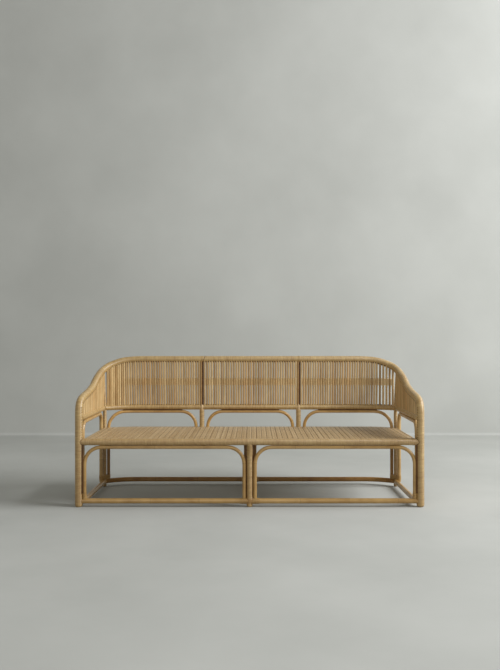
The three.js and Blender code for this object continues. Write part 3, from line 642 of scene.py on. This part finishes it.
def woven_finish():
    """The mat: cane skin along each strand, gaps between strands and between cross strands darkened, and in the
    height the strands rise over every other cross strand and dive under the next, one after the other."""
    material, shader, u, v = mapped_material("woven deck")
    strand, across = reckon("FLOOR", u), reckon("FRACT", u)
    skin = placed_group(CANE_SKIN, Across=across, Along=v * .12, Number=strand, Pale=paint("#ccb286"),
                        Deep=paint("#a6885c"), Fibres=7.0, Steps=.7, Waves=.4)
    edge = placed_group(STRIP_EDGES, Across=across, Groove=.20)
    over = ranged(reckon("COSINE", (v + strand) * pi), -1.0, -.3, 0.0, 1.0)
    group = u / float(STRAND_GROUP)
    line = ranged(off_centre(group + .5), .025, .07, .95, 0.0)
    half_line = ranged(off_centre(group), .015, .05, .35, 0.0)
    dark = reckon("MAXIMUM", reckon("MAXIMUM", line, half_line), edge["Seam"] * .55)
    dark = reckon("MAXIMUM", dark, (1.0 - over) * .45)
    feed(shader, {"Base Color": between(dark, skin["Color"], paint("#553b1c")), "Roughness": skin["Roughness"],
                  "Normal": raised(over + edge["Height"] * 1.5, .5, .0010)})
    return material


finished_piece("woven_seat_deck", deck_surface(), woven_finish(), ["seat_deck"], sharp=75)

# ---------------------------------------------------------------- centre legs
# Wrapped legs under the middle of the roll and of the rear rail. The front one has a wound collar under the roll,
# and the rear one is darker, as are the other canes under the back of the seat: painted shade for the seat's shadow.
CENTRE_LEG_RADIUS, CENTRE_LEG_FOOT, COLLAR_SPAN, COLLAR_PROUD = .016, .008, (.2920, .3515), .0018
# The rear leg's peel is darker than the rest: painted shade.
REAR_PEEL_PAINTED_SHADE = peel_finish("rear peel painted shade", "#94703d", "#6b471f", "#3a2410")
for word, y, top, peel in (("front", FRONT_Y, ROLL_Z, WOUND_PEEL), ("rear", BACK_Y, REAR_RAIL_Z, REAR_PEEL_PAINTED_SHADE)):
    wound_pole("wrapped_centre_leg_" + word, even_path([[0, y, 0], [0, y, top]]), (0, -1, 0), CENTRE_LEG_RADIUS, 16,
               [word + "_centre_leg"], peel, swell=rounded_foot(CENTRE_LEG_RADIUS, CENTRE_LEG_FOOT))
wound_pole("leg_collar", even_path([[0, FRONT_Y, z] for z in COLLAR_SPAN], .002), (0, -1, 0),
           CENTRE_LEG_RADIUS + COLLAR_PROUD, 18, ["collar_binding"], PEEL_RING, pitch=.0060, relief=.0008)

# ---------------------------------------------------------------- stretchers just over the floor
# Bare bent cane poles between the feet: two in front, one at each side, and two behind that follow the corners.
# They hold the feet apart and carry the feet of the arches. The two behind are of darker cane, as painted shade for
# the seat's shadow.
STRETCHER_RADIUS, STRETCHER_Z, STRETCHER_SIDE_X = .015, .0335, .952
BENT_CANE = bare_finish("bent cane", "#c09b5d", "#946e36", .70)
# Darker cane for the rear stretchers and the arches under the back of the seat: painted shade.
REAR_CANE_PAINTED_SHADE = bare_finish("rear cane painted shade", "#a67c3e", "#7a5223", .25)
for word, side in SIDES:
    front = np.array([[LEG_X, FRONT_Y, STRETCHER_Z], [0, FRONT_Y, STRETCHER_Z]]) * [side, 1, 1]
    flank = np.array([[STRETCHER_SIDE_X, FRONT_Y, STRETCHER_Z], [POST_X, POST_Y, STRETCHER_Z]]) * [side, 1, 1]
    for name, line, cane, first_joint in (("front_stretcher_" + word, even_path(front, .007), BENT_CANE, .13),
                                          ("side_stretcher_" + word, even_path(flank, .007), BENT_CANE, .21),
                                          ("rear_stretcher_" + word, plan_path(side * POST_X, 0, STRETCHER_Z)[::2],
                                           REAR_CANE_PAINTED_SHADE, .06)):
        bare_pole("cane_" + name, line, (0, 0, 1), STRETCHER_RADIUS, [name], cane, first_joint)

# ---------------------------------------------------------------- bent arches
# Slim bare canes bent hot into arches: two under the front of the seat and two under its back, three over the seat
# behind, and a tall one at each side. Their feet stand on the stretchers or the rear rail. The two under the back of
# the seat are darker, as painted shade; the tall side ones and the three behind are paler, as painted light. Dark slim
# canes fill the grooves between the legs and the front arches, and between the lower back rail and the arches under
# it: they are painted shade.
ARCH_RADIUS, SIDE_ARCH_RADIUS, SIDE_ARCH_X, SIDE_ARCH_FEET = .0105, .012, .9635, (-.3207, .2557)
FRONT_ARCH_X, REAR_ARCH_X, INNER_ARCH_X, LOW_BEND, SIDE_BEND, BACK_BEND = .9452, .923, .031, .095, .060, .100
BACK_ARCH_FEET = (("left", -REAR_ARCH_X, -.356), ("centre", -.280, .280), ("right", .356, REAR_ARCH_X))
# Rows of the dark slim canes beside the legs, which are painted shade: place, x, y, height of the foot, radius.
SHADE_FILLERS = (("corner", .9545, -.3662, .0800, .0042), ("centre", .0190, -.3490, .0400, .0045))
FILLER_TOP, GROOVE_RADIUS, GROOVE_FORWARD, GROOVE_Z, GROOVE_START = .3535, .0031, .0090, .4913, .090
# Paler cane for the tall side arches: painted light, a lit copy of the bent cane.
SIDE_CANE_PAINTED_LIGHT = bare_finish("side cane painted light", "#c9a76c", "#a07b46", .70)
# Dark cane for the slim canes that paint shade by the legs, under the back rail and by the dividers, and for the seam
# cord.
DARK_CANE_SHADE_AND_CORD = bare_finish("dark cane for shade and cord", "#6a431d", "#452a10", .10)
# Paler cane for the arches over the seat behind: painted light against the lower rail's shade.
BACK_CANE_PAINTED_LIGHT = bare_finish("back cane painted light", "#d1a965", "#a1783b", .70)


def arch_outline(start, end, foot, top, bend):
    """In the arch's own plane: up a leg, round a quarter circle, along the top, round another and down."""
    way = np.sign(end - start) * bend
    turn = np.linspace(0, pi / 2, 17)
    rise = np.stack([start + way * (1 - np.cos(turn)), top - bend * (1 - np.sin(turn))], axis=1)
    fall = np.stack([end - way * (1 - np.cos(turn)), top - bend * (1 - np.sin(turn))], axis=1)[::-1]
    return np.vstack([[start, foot], rise, fall, [end, foot]])


def arch(node, feet, foot, pole, bend, stand, first_joint, cane=BENT_CANE, radius=ARCH_RADIUS):
    """An arch between two feet, from their height up to the underside of a pole, given by the height of its middle
    and its radius. The outline is stood up in the frame."""
    outline = arch_outline(*feet, foot, pole[0] - pole[1] - JOINT_GAP - radius, bend)
    line = even_path(stand(*even_path(np.insert(outline, 2, 0, axis=1), .003)[:, :2].T), .005, .010)
    aside = np.cross(line[len(line) // 2] - line[0], line[-1] - line[0])
    return bare_pole("bent_" + node, line, aside, radius, [node], cane, first_joint, 14)


for word, side in SIDES:
    arch("front_arch_" + word, (side * FRONT_ARCH_X, side * INNER_ARCH_X), STRETCHER_Z, (ROLL_Z, ROLL_RADIUS),
         LOW_BEND, lambda x, z: np.stack([x, FRONT_Y + 0 * x, z], axis=1), .11)
    arch("rear_arch_" + word, (side * REAR_ARCH_X, side * INNER_ARCH_X), STRETCHER_Z, (REAR_RAIL_Z, SEAT_RAIL_RADIUS),
         LOW_BEND, behind, .19, REAR_CANE_PAINTED_SHADE)
    arch("side_arch_" + word, SIDE_ARCH_FEET, STRETCHER_Z, (LOWER_RAIL_Z, LOWER_RAIL_RADIUS), SIDE_BEND,
         lambda y, z: np.stack([side * SIDE_ARCH_X + 0 * y, y, z], axis=1), .15, SIDE_CANE_PAINTED_LIGHT, SIDE_ARCH_RADIUS)
# Dark slim canes in the grooves by the legs: painted shade.
for word, side in SIDES:
    for spot, x, y, foot, radius in SHADE_FILLERS:
        bare_pole("painted_shade_filler_%s_%s" % (spot, word), even_path([[side * x, y, z] for z in (foot, FILLER_TOP)], .006),
                  (0, -1, 0), radius, [], DARK_CANE_SHADE_AND_CORD, sides=10)
for word, start, end in BACK_ARCH_FEET:
    arch("back_arch_" + word, (start, end), REAR_RAIL_Z, (LOWER_RAIL_Z, LOWER_RAIL_RADIUS), BACK_BEND, behind, .09,
         BACK_CANE_PAINTED_LIGHT)
    # A dark slim cane in the groove under the lower back rail: painted shade.
    groove = plan_path(start + GROOVE_START, end - GROOVE_START, GROOVE_Z) - [0, GROOVE_FORWARD, 0]
    bare_pole("painted_shade_groove_" + word, groove, (0, 0, 1), GROOVE_RADIUS, [], DARK_CANE_SHADE_AND_CORD, .07, 10)

# ---------------------------------------------------------------- dividers of the back
# A thin bare cane between two stick bays, from the lower rail to the top rail, with a slim dark one laid beside it
# that is painted shade in the gap beside the divider.
# Both are let into the inner side of the top rail, as the sticks are. A thin dark cord is wound once round the top
# rail by the left one.
DIVIDER_RADIUS, DIVIDER_SHIFT, EDGE_RADIUS, EDGE_SHIFT = .0066, -.0050, .0050, .0066
HEAD_FORWARD, HEAD_DROP = .0130, .0105
SEAM_CORD_X, SEAM_CORD_SLANT, SEAM_CORD_RADIUS = -.304, .008, .0018
DIVIDER_CANE = bare_finish("divider cane", "#b3905a", "#866437", .30)
# The dark slim cane beside each divider is painted shade.
for word, side in SIDES:
    for name, shift, radius, nodes, cane, first_joint, sides in (
            ("cane_divider_", DIVIDER_SHIFT, DIVIDER_RADIUS, ["back_divider_" + word], DIVIDER_CANE, .12, PLAIN_SIDES),
            ("cane_divider_shade_", EDGE_SHIFT, EDGE_RADIUS, [], DARK_CANE_SHADE_AND_CORD, .07, 10)):
        x = side * DIVIDER_X + shift
        ends = [[x, BACK_Y, LOWER_RAIL_Z], [x, BACK_Y - HEAD_FORWARD, RAIL_Z - HEAD_DROP]]
        bare_pole(name + word, even_path(ends, .006), (0, -1, 0), radius, nodes, cane, first_joint, sides)
turn = np.linspace(0, 2 * pi, 61)
seam_cord = np.array([SEAM_CORD_X, BACK_Y, RAIL_Z]) + np.stack(
    [SEAM_CORD_SLANT * np.sin(turn), -HOOP_RADIUS * np.cos(turn), HOOP_RADIUS * np.sin(turn)], axis=1)
bare_pole("seam_cord", even_path(seam_cord, .003), (1, 0, 0), SEAM_CORD_RADIUS, [], DARK_CANE_SHADE_AND_CORD, .07, 8)

# ---------------------------------------------------------------- panels of upright sticks
# Slim sticks stand side by side between the rails, each a shade of its own, their heads let into the inner side of the
# top rail over a dark strand, which is painted shade under the rail. A flat batten of split cane runs behind them, pith
# inwards, nailed to every second one; the pith is painted paler still, as painted light on the batten's shaded face.
STICK_RADIUS, STICK_PITCH, STICK_GAP, BY_DIVIDER = .0071, .0158, .0016, .010
BACK_BATTEN_Z, SIDE_BATTEN_Z, BACK_BATTEN_WIDTH, SIDE_BATTEN_WIDTH = .6759, .546, .046, .020
BATTEN_THICK, BATTEN_OVERLAP, NAIL_RADIUS, NAIL_SINK, STICK_FOOT = .014, .0066, .0020, .0002, .7 * LOWER_RAIL_RADIUS
STRAND_DROP, STRAND_FORWARD, STRAND_RADIUS, BEAD_RADIUS, BEAD_LIFT = .0130, .0160, .0030, .0024, .0018
# By the corner posts the left panel's sticks are set closer and the right one's wider: first of the even places that
# stays, and the number of sticks up to it.
CORNER_STICKS = dict(left=(9, 11), right=(7, 6))


def stick_surface(feet, heads, seed):
    """A row of sticks. Ring i of stick n stands at share t_i of the way from foot to head, bowed aside by a small
    sine of t, on eight sides of a radius that differs by a few per cent. The map counts sticks and metres."""
    count, sides = len(feet), 8
    t = np.array([0, .25, .5, .75, 1])
    chance = np.random.default_rng(seed)
    way = unit(heads - feet)
    beside = np.gradient(feet, axis=0)
    beside = unit(beside - way * np.sum(beside * way, axis=1)[:, None])
    back = np.cross(way, beside)
    bow = chance.uniform(-.0004, .0004, (count, 2))
    middle = (feet[:, None] + (heads - feet)[:, None] * t[None, :, None]
              + (beside[:, None] * bow[:, :1, None] + back[:, None] * bow[:, 1:, None] * .6)
              * np.sin(pi * t)[None, :, None])
    size = STICK_RADIUS * chance.uniform(.96, 1.03, (count, 1)) * (1 + chance.uniform(-.01, .01, (count, 5)))
    turn = (np.arange(sides) + .5) / sides * 2 * pi
    ring = (beside[:, None, None] * np.cos(turn)[None, None, :, None]
            + back[:, None, None] * np.sin(turn)[None, None, :, None])
    length = np.linalg.norm(heads - feet, axis=1)
    return ringed_surface(middle[:, :, None] + ring * size[:, :, None, None], feet, heads,
                          lambda n, a, b: (n + .002 + b / sides * .996, t[a] * length[n]),
                          np.arange(count)[:, None] * [1, 0] + [.5, 0])


def batten_surface(route, outward, width, thickness):
    """A strip along a route: a flat section whose front and back swell a little, carried along with its face turned
    outward, and closed at both ends."""
    a = np.array([-.5, -.46, 0, .46, .5, .46, 0, -.46]) * width
    b = np.array([0, -.42, -.5, -.42, 0, .42, .5, .42]) * thickness
    s, up = travel(route), np.array([0, 0, 1.0])
    rings = route[:, None] + up * a[None, :, None] + outward[:, None] * b[None, :, None]
    points, faces, uv = ringed_surface(rings[None], route[:1], route[-1:],
                                       lambda n, p, q: (q / 8, s[p] / JOINT_SPACING + .3))
    tall = np.cross(up, outward[0]) @ (route[1] - route[0])
    return points, faces if tall < 0 else faces[:, ::-1], uv if tall < 0 else uv[:, ::-1]


def nail_surface(places, outward, radius):
    """Domed nail heads: three rings of six corners that close at the crown, one dome for each place."""
    turn, up = np.arange(6) / 6 * 2 * pi, np.array([0, 0, 1.0])
    rise, wide = np.array([-.3, .35, .8]) * radius * .6, np.array([1, .9, .45]) * radius
    beside = np.cross(up, outward)
    rings = (places[:, None, None] + outward[:, None, None] * rise[None, :, None, None]
             + (beside[:, None, None] * np.cos(turn)[None, None, :, None]
                + up * np.sin(turn)[None, None, :, None]) * wide[None, :, None, None])
    return ringed_surface(rings, places + outward * rise[0], places + outward * radius * .6,
                          lambda n, a, b: (.5 + 0 * n, .5 + 0 * n))


def stick_finish():
    """Sticks: cane skin along each, a step of tone from stick to stick, and a few that are orange or brown."""
    material, shader, u, v = mapped_material("stick cane")
    number = reckon("FLOOR", u)
    skin = placed_group(CANE_SKIN, Across=reckon("FRACT", u), Along=v * 16.0, Number=number, Pale=paint("#d7bb88"),
                        Deep=paint("#aa8957"), Fibres=16.0, Steps=.9, Waves=.4)
    pick = chance_at(number + 41.7)
    color = between(ranged(pick, .72, .95, 0.0, .5), skin["Color"], paint("#c89c62"))
    color = between(ranged(pick, .16, .02, 0.0, .55), color, paint("#8d6a3f"))
    feed(shader, {"Base Color": color, "Roughness": skin["Roughness"], "Specular IOR Level": .35, "Coat Weight": .30,
                  "Coat Roughness": .25, "Normal": raised(skin["Height"], .4, .0008)})
    return material


def nail_finish():
    """Nail heads: dull bronze with a little tarnish."""
    material, tree, shader = blank_material("nail bronze")
    tarnish = noise_at(object_place(tree), 400.0)
    feed(shader, {"Base Color": between(tarnish, paint("#5d4a30"), paint("#8b7350")),
                  "Roughness": ranged(tarnish, .3, .7, .35, .6), "Metallic": 1.0})
    return material


STICK_CANE, NAIL_BRONZE = stick_finish(), nail_finish()
# The batten's pale pith is painted paler still: painted light on its shaded face.
BATTEN_CANE_PAINTED_LIGHT = bare_finish("batten cane painted light", "#bd9a60", "#94713c", .05, "#f6e1b7")
# Dark cane for the strand at the sticks' heads and the bead behind their feet: painted shade.
BEAD_CANE_PAINTED_SHADE = bare_finish("bead cane painted shade", "#4a331c", "#2c1b0c", .0)


def stick_panel(name, node, feet, heads, batten_z, batten_width, turn, seed):
    """The sticks, the batten behind them and its nails, a dark strand between their heads and a bead of cane behind
    their feet, both dark as painted shade, for one panel, from the middles of its lower and upper rail. The batten
    stands outside the sticks by their radius and half its own thickness, less the depth to which each stick is let into
    it."""
    way, ahead, along_top = unit(heads - feet), np.gradient(feet, axis=0), unit(np.gradient(heads, axis=0))
    outward = unit(np.stack([-ahead[:, 1], ahead[:, 0], 0 * ahead[:, 0]], axis=1) * turn)
    down = unit(along_top * np.sum(way * along_top, axis=1)[:, None] - way)
    strand = heads + down * STRAND_DROP - outward * STRAND_FORWARD
    feet, heads = feet + way * STICK_FOOT, heads - way * HEAD_DROP - outward * HEAD_FORWARD
    finished_piece("sticks_" + name, stick_surface(feet, heads, seed), STICK_CANE, [node], sharp=60)
    share = (batten_z - feet[:, 2:]) / (heads[:, 2:] - feet[:, 2:])
    route = feet + (heads - feet) * share + outward * (STICK_RADIUS + BATTEN_THICK / 2 - BATTEN_OVERLAP)
    finished_piece("batten_" + name, batten_surface(route, outward, batten_width, BATTEN_THICK), BATTEN_CANE_PAINTED_LIGHT)
    places = route + outward * (BATTEN_THICK / 2 - NAIL_SINK)
    finished_piece("nails_" + name, nail_surface(places[::2], outward[::2], NAIL_RADIUS), NAIL_BRONZE)
    bead = feet + way * (LOWER_RAIL_RADIUS - STICK_FOOT + BEAD_LIFT) + outward * STICK_RADIUS * .7
    for end, line, radius in (("head_shade_strand", strand, STRAND_RADIUS), ("foot_shade_bead", bead, BEAD_RADIUS)):
        bare_pole(end + "_" + name, even_path(line, .006), (0, 0, 1), radius, [], BEAD_CANE_PAINTED_SHADE, sides=8)


def even_places(length, before, after):
    """Distances along a rail, a pitch apart, with room left before the first and after the last."""
    count = int((length - before - after) / STICK_PITCH)
    return before + np.arange(count + 1) / count * (length - before - after)


by_leg, by_post, by_divider = (np.array([HOOP_RADIUS, CORNER_POST_RADIUS, BY_DIVIDER]) + STICK_RADIUS + STICK_GAP)
middle = even_places(2 * DIVIDER_X, by_divider, by_divider) - DIVIDER_X
feet, heads = (np.stack([middle, BACK_Y + 0 * middle, z + 0 * middle], axis=1) for z in (LOWER_RAIL_Z, RAIL_Z))
stick_panel("back_centre", "back_panel_centre", feet, heads, BACK_BATTEN_Z, BACK_BATTEN_WIDTH, 1, 3)
bent = spline_through(arm_points, 12)
post_place = np.argmin(np.linalg.norm(bent - arm_points[8], axis=1))
arm_line, top_line = bent[:post_place + 1], np.vstack([bent[post_place:], [DIVIDER_X, BACK_Y, RAIL_Z]])
low = plan_path(POST_X, DIVIDER_X, LOWER_RAIL_Z)
for word, side in SIDES:
    places, (few, many) = even_places(travel(low)[-1], by_post, by_divider), CORNER_STICKS[word]
    places = np.concatenate([np.linspace(places[0], places[few], many)[:-1], places[few:]])
    feet = read_off(places, travel(low), low)
    head_x = np.interp(feet[:, 0], [DIVIDER_X, POST_X], [DIVIDER_X, top_line[0, 0]])
    heads = read_off(-head_x, -top_line[:, 0], top_line)
    stick_panel("back_" + word, "back_panel_" + word, feet * [side, 1, 1], heads * [side, 1, 1], BACK_BATTEN_Z,
                BACK_BATTEN_WIDTH, -side, 11 + side)
start, end = SIDE_RAIL_ENDS
run = np.linalg.norm(end - start)
for word, side in SIDES:
    share = even_places(run, by_leg, by_post)[:, None] / run
    feet = start + (end - start) * share
    head_y = FRONT_Y + share[:, 0] * (arm_line[-1, 1] - FRONT_Y)
    heads = read_off(head_y, arm_line[:, 1], arm_line)
    stick_panel("side_" + word, "side_panel_" + word, feet * [side, 1, 1], heads * [side, 1, 1], SIDE_BATTEN_Z,
                SIDE_BATTEN_WIDTH, -side, 21 + side)

# ---------------------------------------------------------------- tacks on the front legs
# A row of small bronze tacks holds the peel down the inner edge of each front leg, from the seat to the panel.
# They are driven in at even steps, a little into the peel.
TACK_RADIUS, TACK_DEPTH, TACK_WAY, TACK_HEIGHTS = .0027, .0001, (-.873, -.488, 0), np.arange(.398, .575, .0142)
for word, side in SIDES:
    out = np.tile(TACK_WAY * np.array([side, 1, 1]), (len(TACK_HEIGHTS), 1))
    tacks = np.stack([side * LEG_X + 0 * TACK_HEIGHTS, FRONT_Y + 0 * TACK_HEIGHTS, TACK_HEIGHTS], axis=1)
    surface = nail_surface(tacks + out * (HOOP_RADIUS - TACK_DEPTH), out, TACK_RADIUS)
    finished_piece("leg_tacks_" + word, surface, NAIL_BRONZE)

# ---------------------------------------------------------------- bindings of peel
# Strips wound tight round the poles that stand side by side: the two arches at each front corner, post and arches
# at each rear corner, and the stretchers beside the centre legs, where more strips cross over the joint.
LASH_STRIP, LASH_THICK, LASH_PROUD, LASH_OFFSETS = .0050, .0011, .0012, (-.0055, 0, .0055)
BINDING_PROUD, BINDING_RELIEF, BINDING_FOOT, FOOT_BINDING_X, REAR_ARCH_Y = .0018, .0011, .0480, (.0150, .0570), .2975
PEEL_LASHING = peel_finish("lashing peel", "#b28b52", "#845f2d", "#432a10", coat=.10)
PEEL_BINDING = peel_finish("binding peel", "#c09b5c", "#8d6833", "#4b3218", .5, .40)


def tight_section(circles, proud, sides):
    """The line of a string drawn tight round circles: for each direction the point of the circle that reaches out
    furthest that way, moved out a little, then spaced evenly round the loop."""
    circles = np.array(circles)
    turn = np.arange(721) / 720 * 2 * pi
    out = np.stack([np.cos(turn), np.sin(turn)], axis=1)
    best = np.argmax(out @ circles[:, :2].T + circles[:, 2], axis=1)
    loop = circles[best, :2] + (circles[best, 2] + proud)[:, None] * out
    s = travel(loop)
    places = np.linspace(0, s[-1], sides + 1)
    turned = np.interp(places, s, turn)
    return read_off(places, s, loop), np.stack([np.cos(turned), np.sin(turned)], axis=1)


def binding(name, node, ends, aside, circles, sides, turns):
    """A binding as a piece, wound in whole turns."""
    line = even_path(ends, .002)
    pitch = travel(line)[-1] / turns
    surface = wound_surface(line, aside, tight_section(circles, BINDING_PROUD, sides), pitch, BINDING_RELIEF)
    return finished_piece(name, surface, PEEL_BINDING, [node])


def crossed_strips(middle, radius):
    """Strips tied crosswise over the joint of two poles of one radius that meet at right angles. Each is a closed
    loop in a plane that leans 45 degrees: an ellipse of radius times root 2 by radius, wider by the strip's own
    distance from the middle. Its section is a low hump on a flat foot."""
    turn = np.arange(48) / 48 * 2 * pi
    across = np.array([-.5, -.32, 0, .32, .5, 0]) * LASH_STRIP
    height = np.array([0, .85, 1, .85, 0, -.6]) * LASH_THICK
    wide_share = np.array([0, .18, .5, .82, 1, .5, 0])
    i, j = np.meshgrid(np.arange(48), np.arange(6), indexing="ij")
    points, faces, uv = [], [], []
    for lean in (-1, 1):
        for number, offset in enumerate(LASH_OFFSETS):
            rise = LASH_PROUD + LASH_THICK * (.35 if lean > 0 else 0)
            wide, deep = radius * 2 ** .5 + abs(offset) + rise, radius + rise
            out = unit(np.stack([np.cos(turn) / wide, np.sin(turn) / deep], axis=1))
            run = wide * np.cos(turn)[:, None] + out[:, :1] * height
            back = deep * np.sin(turn)[:, None] + out[:, 1:] * height
            side = offset + np.broadcast_to(across, run.shape)
            x, z = (run + side * lean) / 2 ** .5, (run * lean - side) / 2 ** .5
            first = sum(len(group) for group in points)
            points.append(np.stack([x, back, z], axis=-1).reshape(-1, 3) + middle)
            tag = number + len(LASH_OFFSETS) * (lean > 0)
            corners = [(i, j), (i + 1, j), (i + 1, j + 1), (i, j + 1)][::lean]
            faces.append(np.stack([first + (a % 48) * 6 + b % 6 for a, b in corners], axis=-1).reshape(-1, 4))
            uv.append(np.stack([np.stack([tag + wide_share[b] * .999, a / 6], axis=-1) for a, b in corners],
                               axis=2).reshape(-1, 4, 2))
    return np.vstack(points), np.vstack(faces), np.vstack(uv)


for word, side in SIDES:
    front = [(FRONT_ARCH_X * side, FRONT_Y, ARCH_RADIUS), (SIDE_ARCH_X * side, SIDE_ARCH_FEET[0], SIDE_ARCH_RADIUS)]
    rear = [(POST_X * side, POST_Y, CORNER_POST_RADIUS), (REAR_ARCH_X * side, REAR_ARCH_Y, ARCH_RADIUS),
            (SIDE_ARCH_X * side, SIDE_ARCH_FEET[1], SIDE_ARCH_RADIUS)]
    for place, circles, head, sides, turns in (("front", front, .0830, 36, 6), ("rear", rear, .0755, 40, 5)):
        binding("bound_%s_corner_%s" % (place, word), "%s_corner_binding_%s" % (place, word),
                [[0, 0, BINDING_FOOT], [0, 0, head]], (1, 0, 0), circles, sides, turns)
    for place, y in ENDS:
        binding("bound_%s_foot_%s" % (place, word), "%s_foot_binding_%s" % (place, word),
                [[side * x, y, STRETCHER_Z] for x in FOOT_BINDING_X], (0, 1, 0), [(0, 0, STRETCHER_RADIUS)], 18, 7)
for place, y in ENDS:
    surface = crossed_strips(np.array([0, y, STRETCHER_Z]), STRETCHER_RADIUS)
    finished_piece("foot_lashing_" + place, surface, PEEL_LASHING)

# ---------------------------------------------------------------- room, light and camera
# A pale floor that turns up into a wall behind, one broad cool lamp from the right, a weak one before the sofa, weak
# warm light from all round, and the camera a little right of the sofa's middle, looking level from a low eye height.
WALL_Y, COVE, WALL_TOP, FLOOR_FRONT, HALF_FLOOR = 3.00, .03, 5.5, -7, 9
# Each lamp: side of the square, watts, colour, place, and the point it is aimed at.
LAMPS = dict(soft_lamp=(4.75, 800, (.985, 1, 1.04), (6.56, -1.40, 4.93), (-.5, -.8, .2)),
             fill_lamp=(3.5, 58, (1, 1, 1), (-.6, -6.0, 2.6), (0, 0, .4)))


def room_surface():
    """Floor, quarter-round cove and wall as one sheet: a profile of y and z drawn out along x."""
    turn = np.linspace(0, pi / 2, 13)
    y = np.concatenate([np.linspace(FLOOR_FRONT, WALL_Y - COVE, 12), WALL_Y - COVE + COVE * np.sin(turn[1:]),
                        [WALL_Y]])
    z = np.concatenate([np.zeros(12), COVE * (1 - np.cos(turn[1:])), [WALL_TOP]])
    x = np.linspace(-HALF_FLOOR, HALF_FLOOR, 24)
    points = np.stack(np.broadcast_arrays(x, y[:, None], z[:, None]), axis=-1).reshape(-1, 3)
    i, j = np.meshgrid(np.arange(len(y) - 1), np.arange(len(x) - 1), indexing="ij")
    return points, cell_corners(lambda a, b: a * len(x) + b, i, j).reshape(-1, 4)


def room_finish():
    """Plain pale plaster with soft clouds of tone and a fine grain."""
    material, tree, shader = blank_material("pale plaster")
    place = object_place(tree)
    height = ranged(parts_of(place)[2], 0.0, .02, 0.0, .5)
    tone = height + ranged(noise_at(place, 1.1, 4.0, .55), .3, .7, 0.0, .5)
    feed(shader, {"Base Color": between(tone, paint("#aaaba5"), paint("#c0c1bb")), "Roughness": .85,
                  "Specular IOR Level": .3, "Normal": raised(noise_at(place, 60.0, 4.0, .6), .15, .002)})
    return material


def placed(thing):
    """The thing, put into the scene."""
    bpy.context.scene.collection.objects.link(thing)
    return thing


room_points, room_faces = room_surface()
room_mesh = bpy.data.meshes.new("floor_and_wall")
room_mesh.from_pydata(room_points.tolist(), [], room_faces.tolist())
room_mesh.shade_smooth()
room_mesh.materials.append(room_finish())
room = placed(bpy.data.objects.new("floor_and_wall", room_mesh))
room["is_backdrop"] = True

for name, (size, watts, color, place, aim) in LAMPS.items():
    lamp_data = bpy.data.lights.new(name, "AREA")
    lamp_data.shape, lamp_data.size, lamp_data.energy, lamp_data.color = "SQUARE", size, watts, color
    lamp = placed(bpy.data.objects.new(name, lamp_data))
    lamp.location, lamp.rotation_euler = place, (Vector(aim) - Vector(place)).to_track_quat("-Z", "Y").to_euler()
world = bpy.data.worlds.new("weak_light")
world.use_nodes = True
feed(world.node_tree.nodes["Background"], {"Color": (1, .985, .93, 1), "Strength": .30})
bpy.context.scene.world = world

camera_data = bpy.data.cameras.new("camera")
camera_data.lens, camera_data.sensor_width = 44.11, 36
camera_data.shift_x, camera_data.shift_y = -3.85 / 670, .35 / 670
camera = placed(bpy.data.objects.new("camera", camera_data))
camera.location, camera.rotation_euler = (.024, -5.055, .981), (pi / 2, 0, 0)
bpy.context.scene.camera = camera
bpy.context.scene.view_settings.view_transform = "Standard"

boxes = {"cad": [list(corner) for corner in cad_box], "visual": [list(corner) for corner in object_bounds()]}
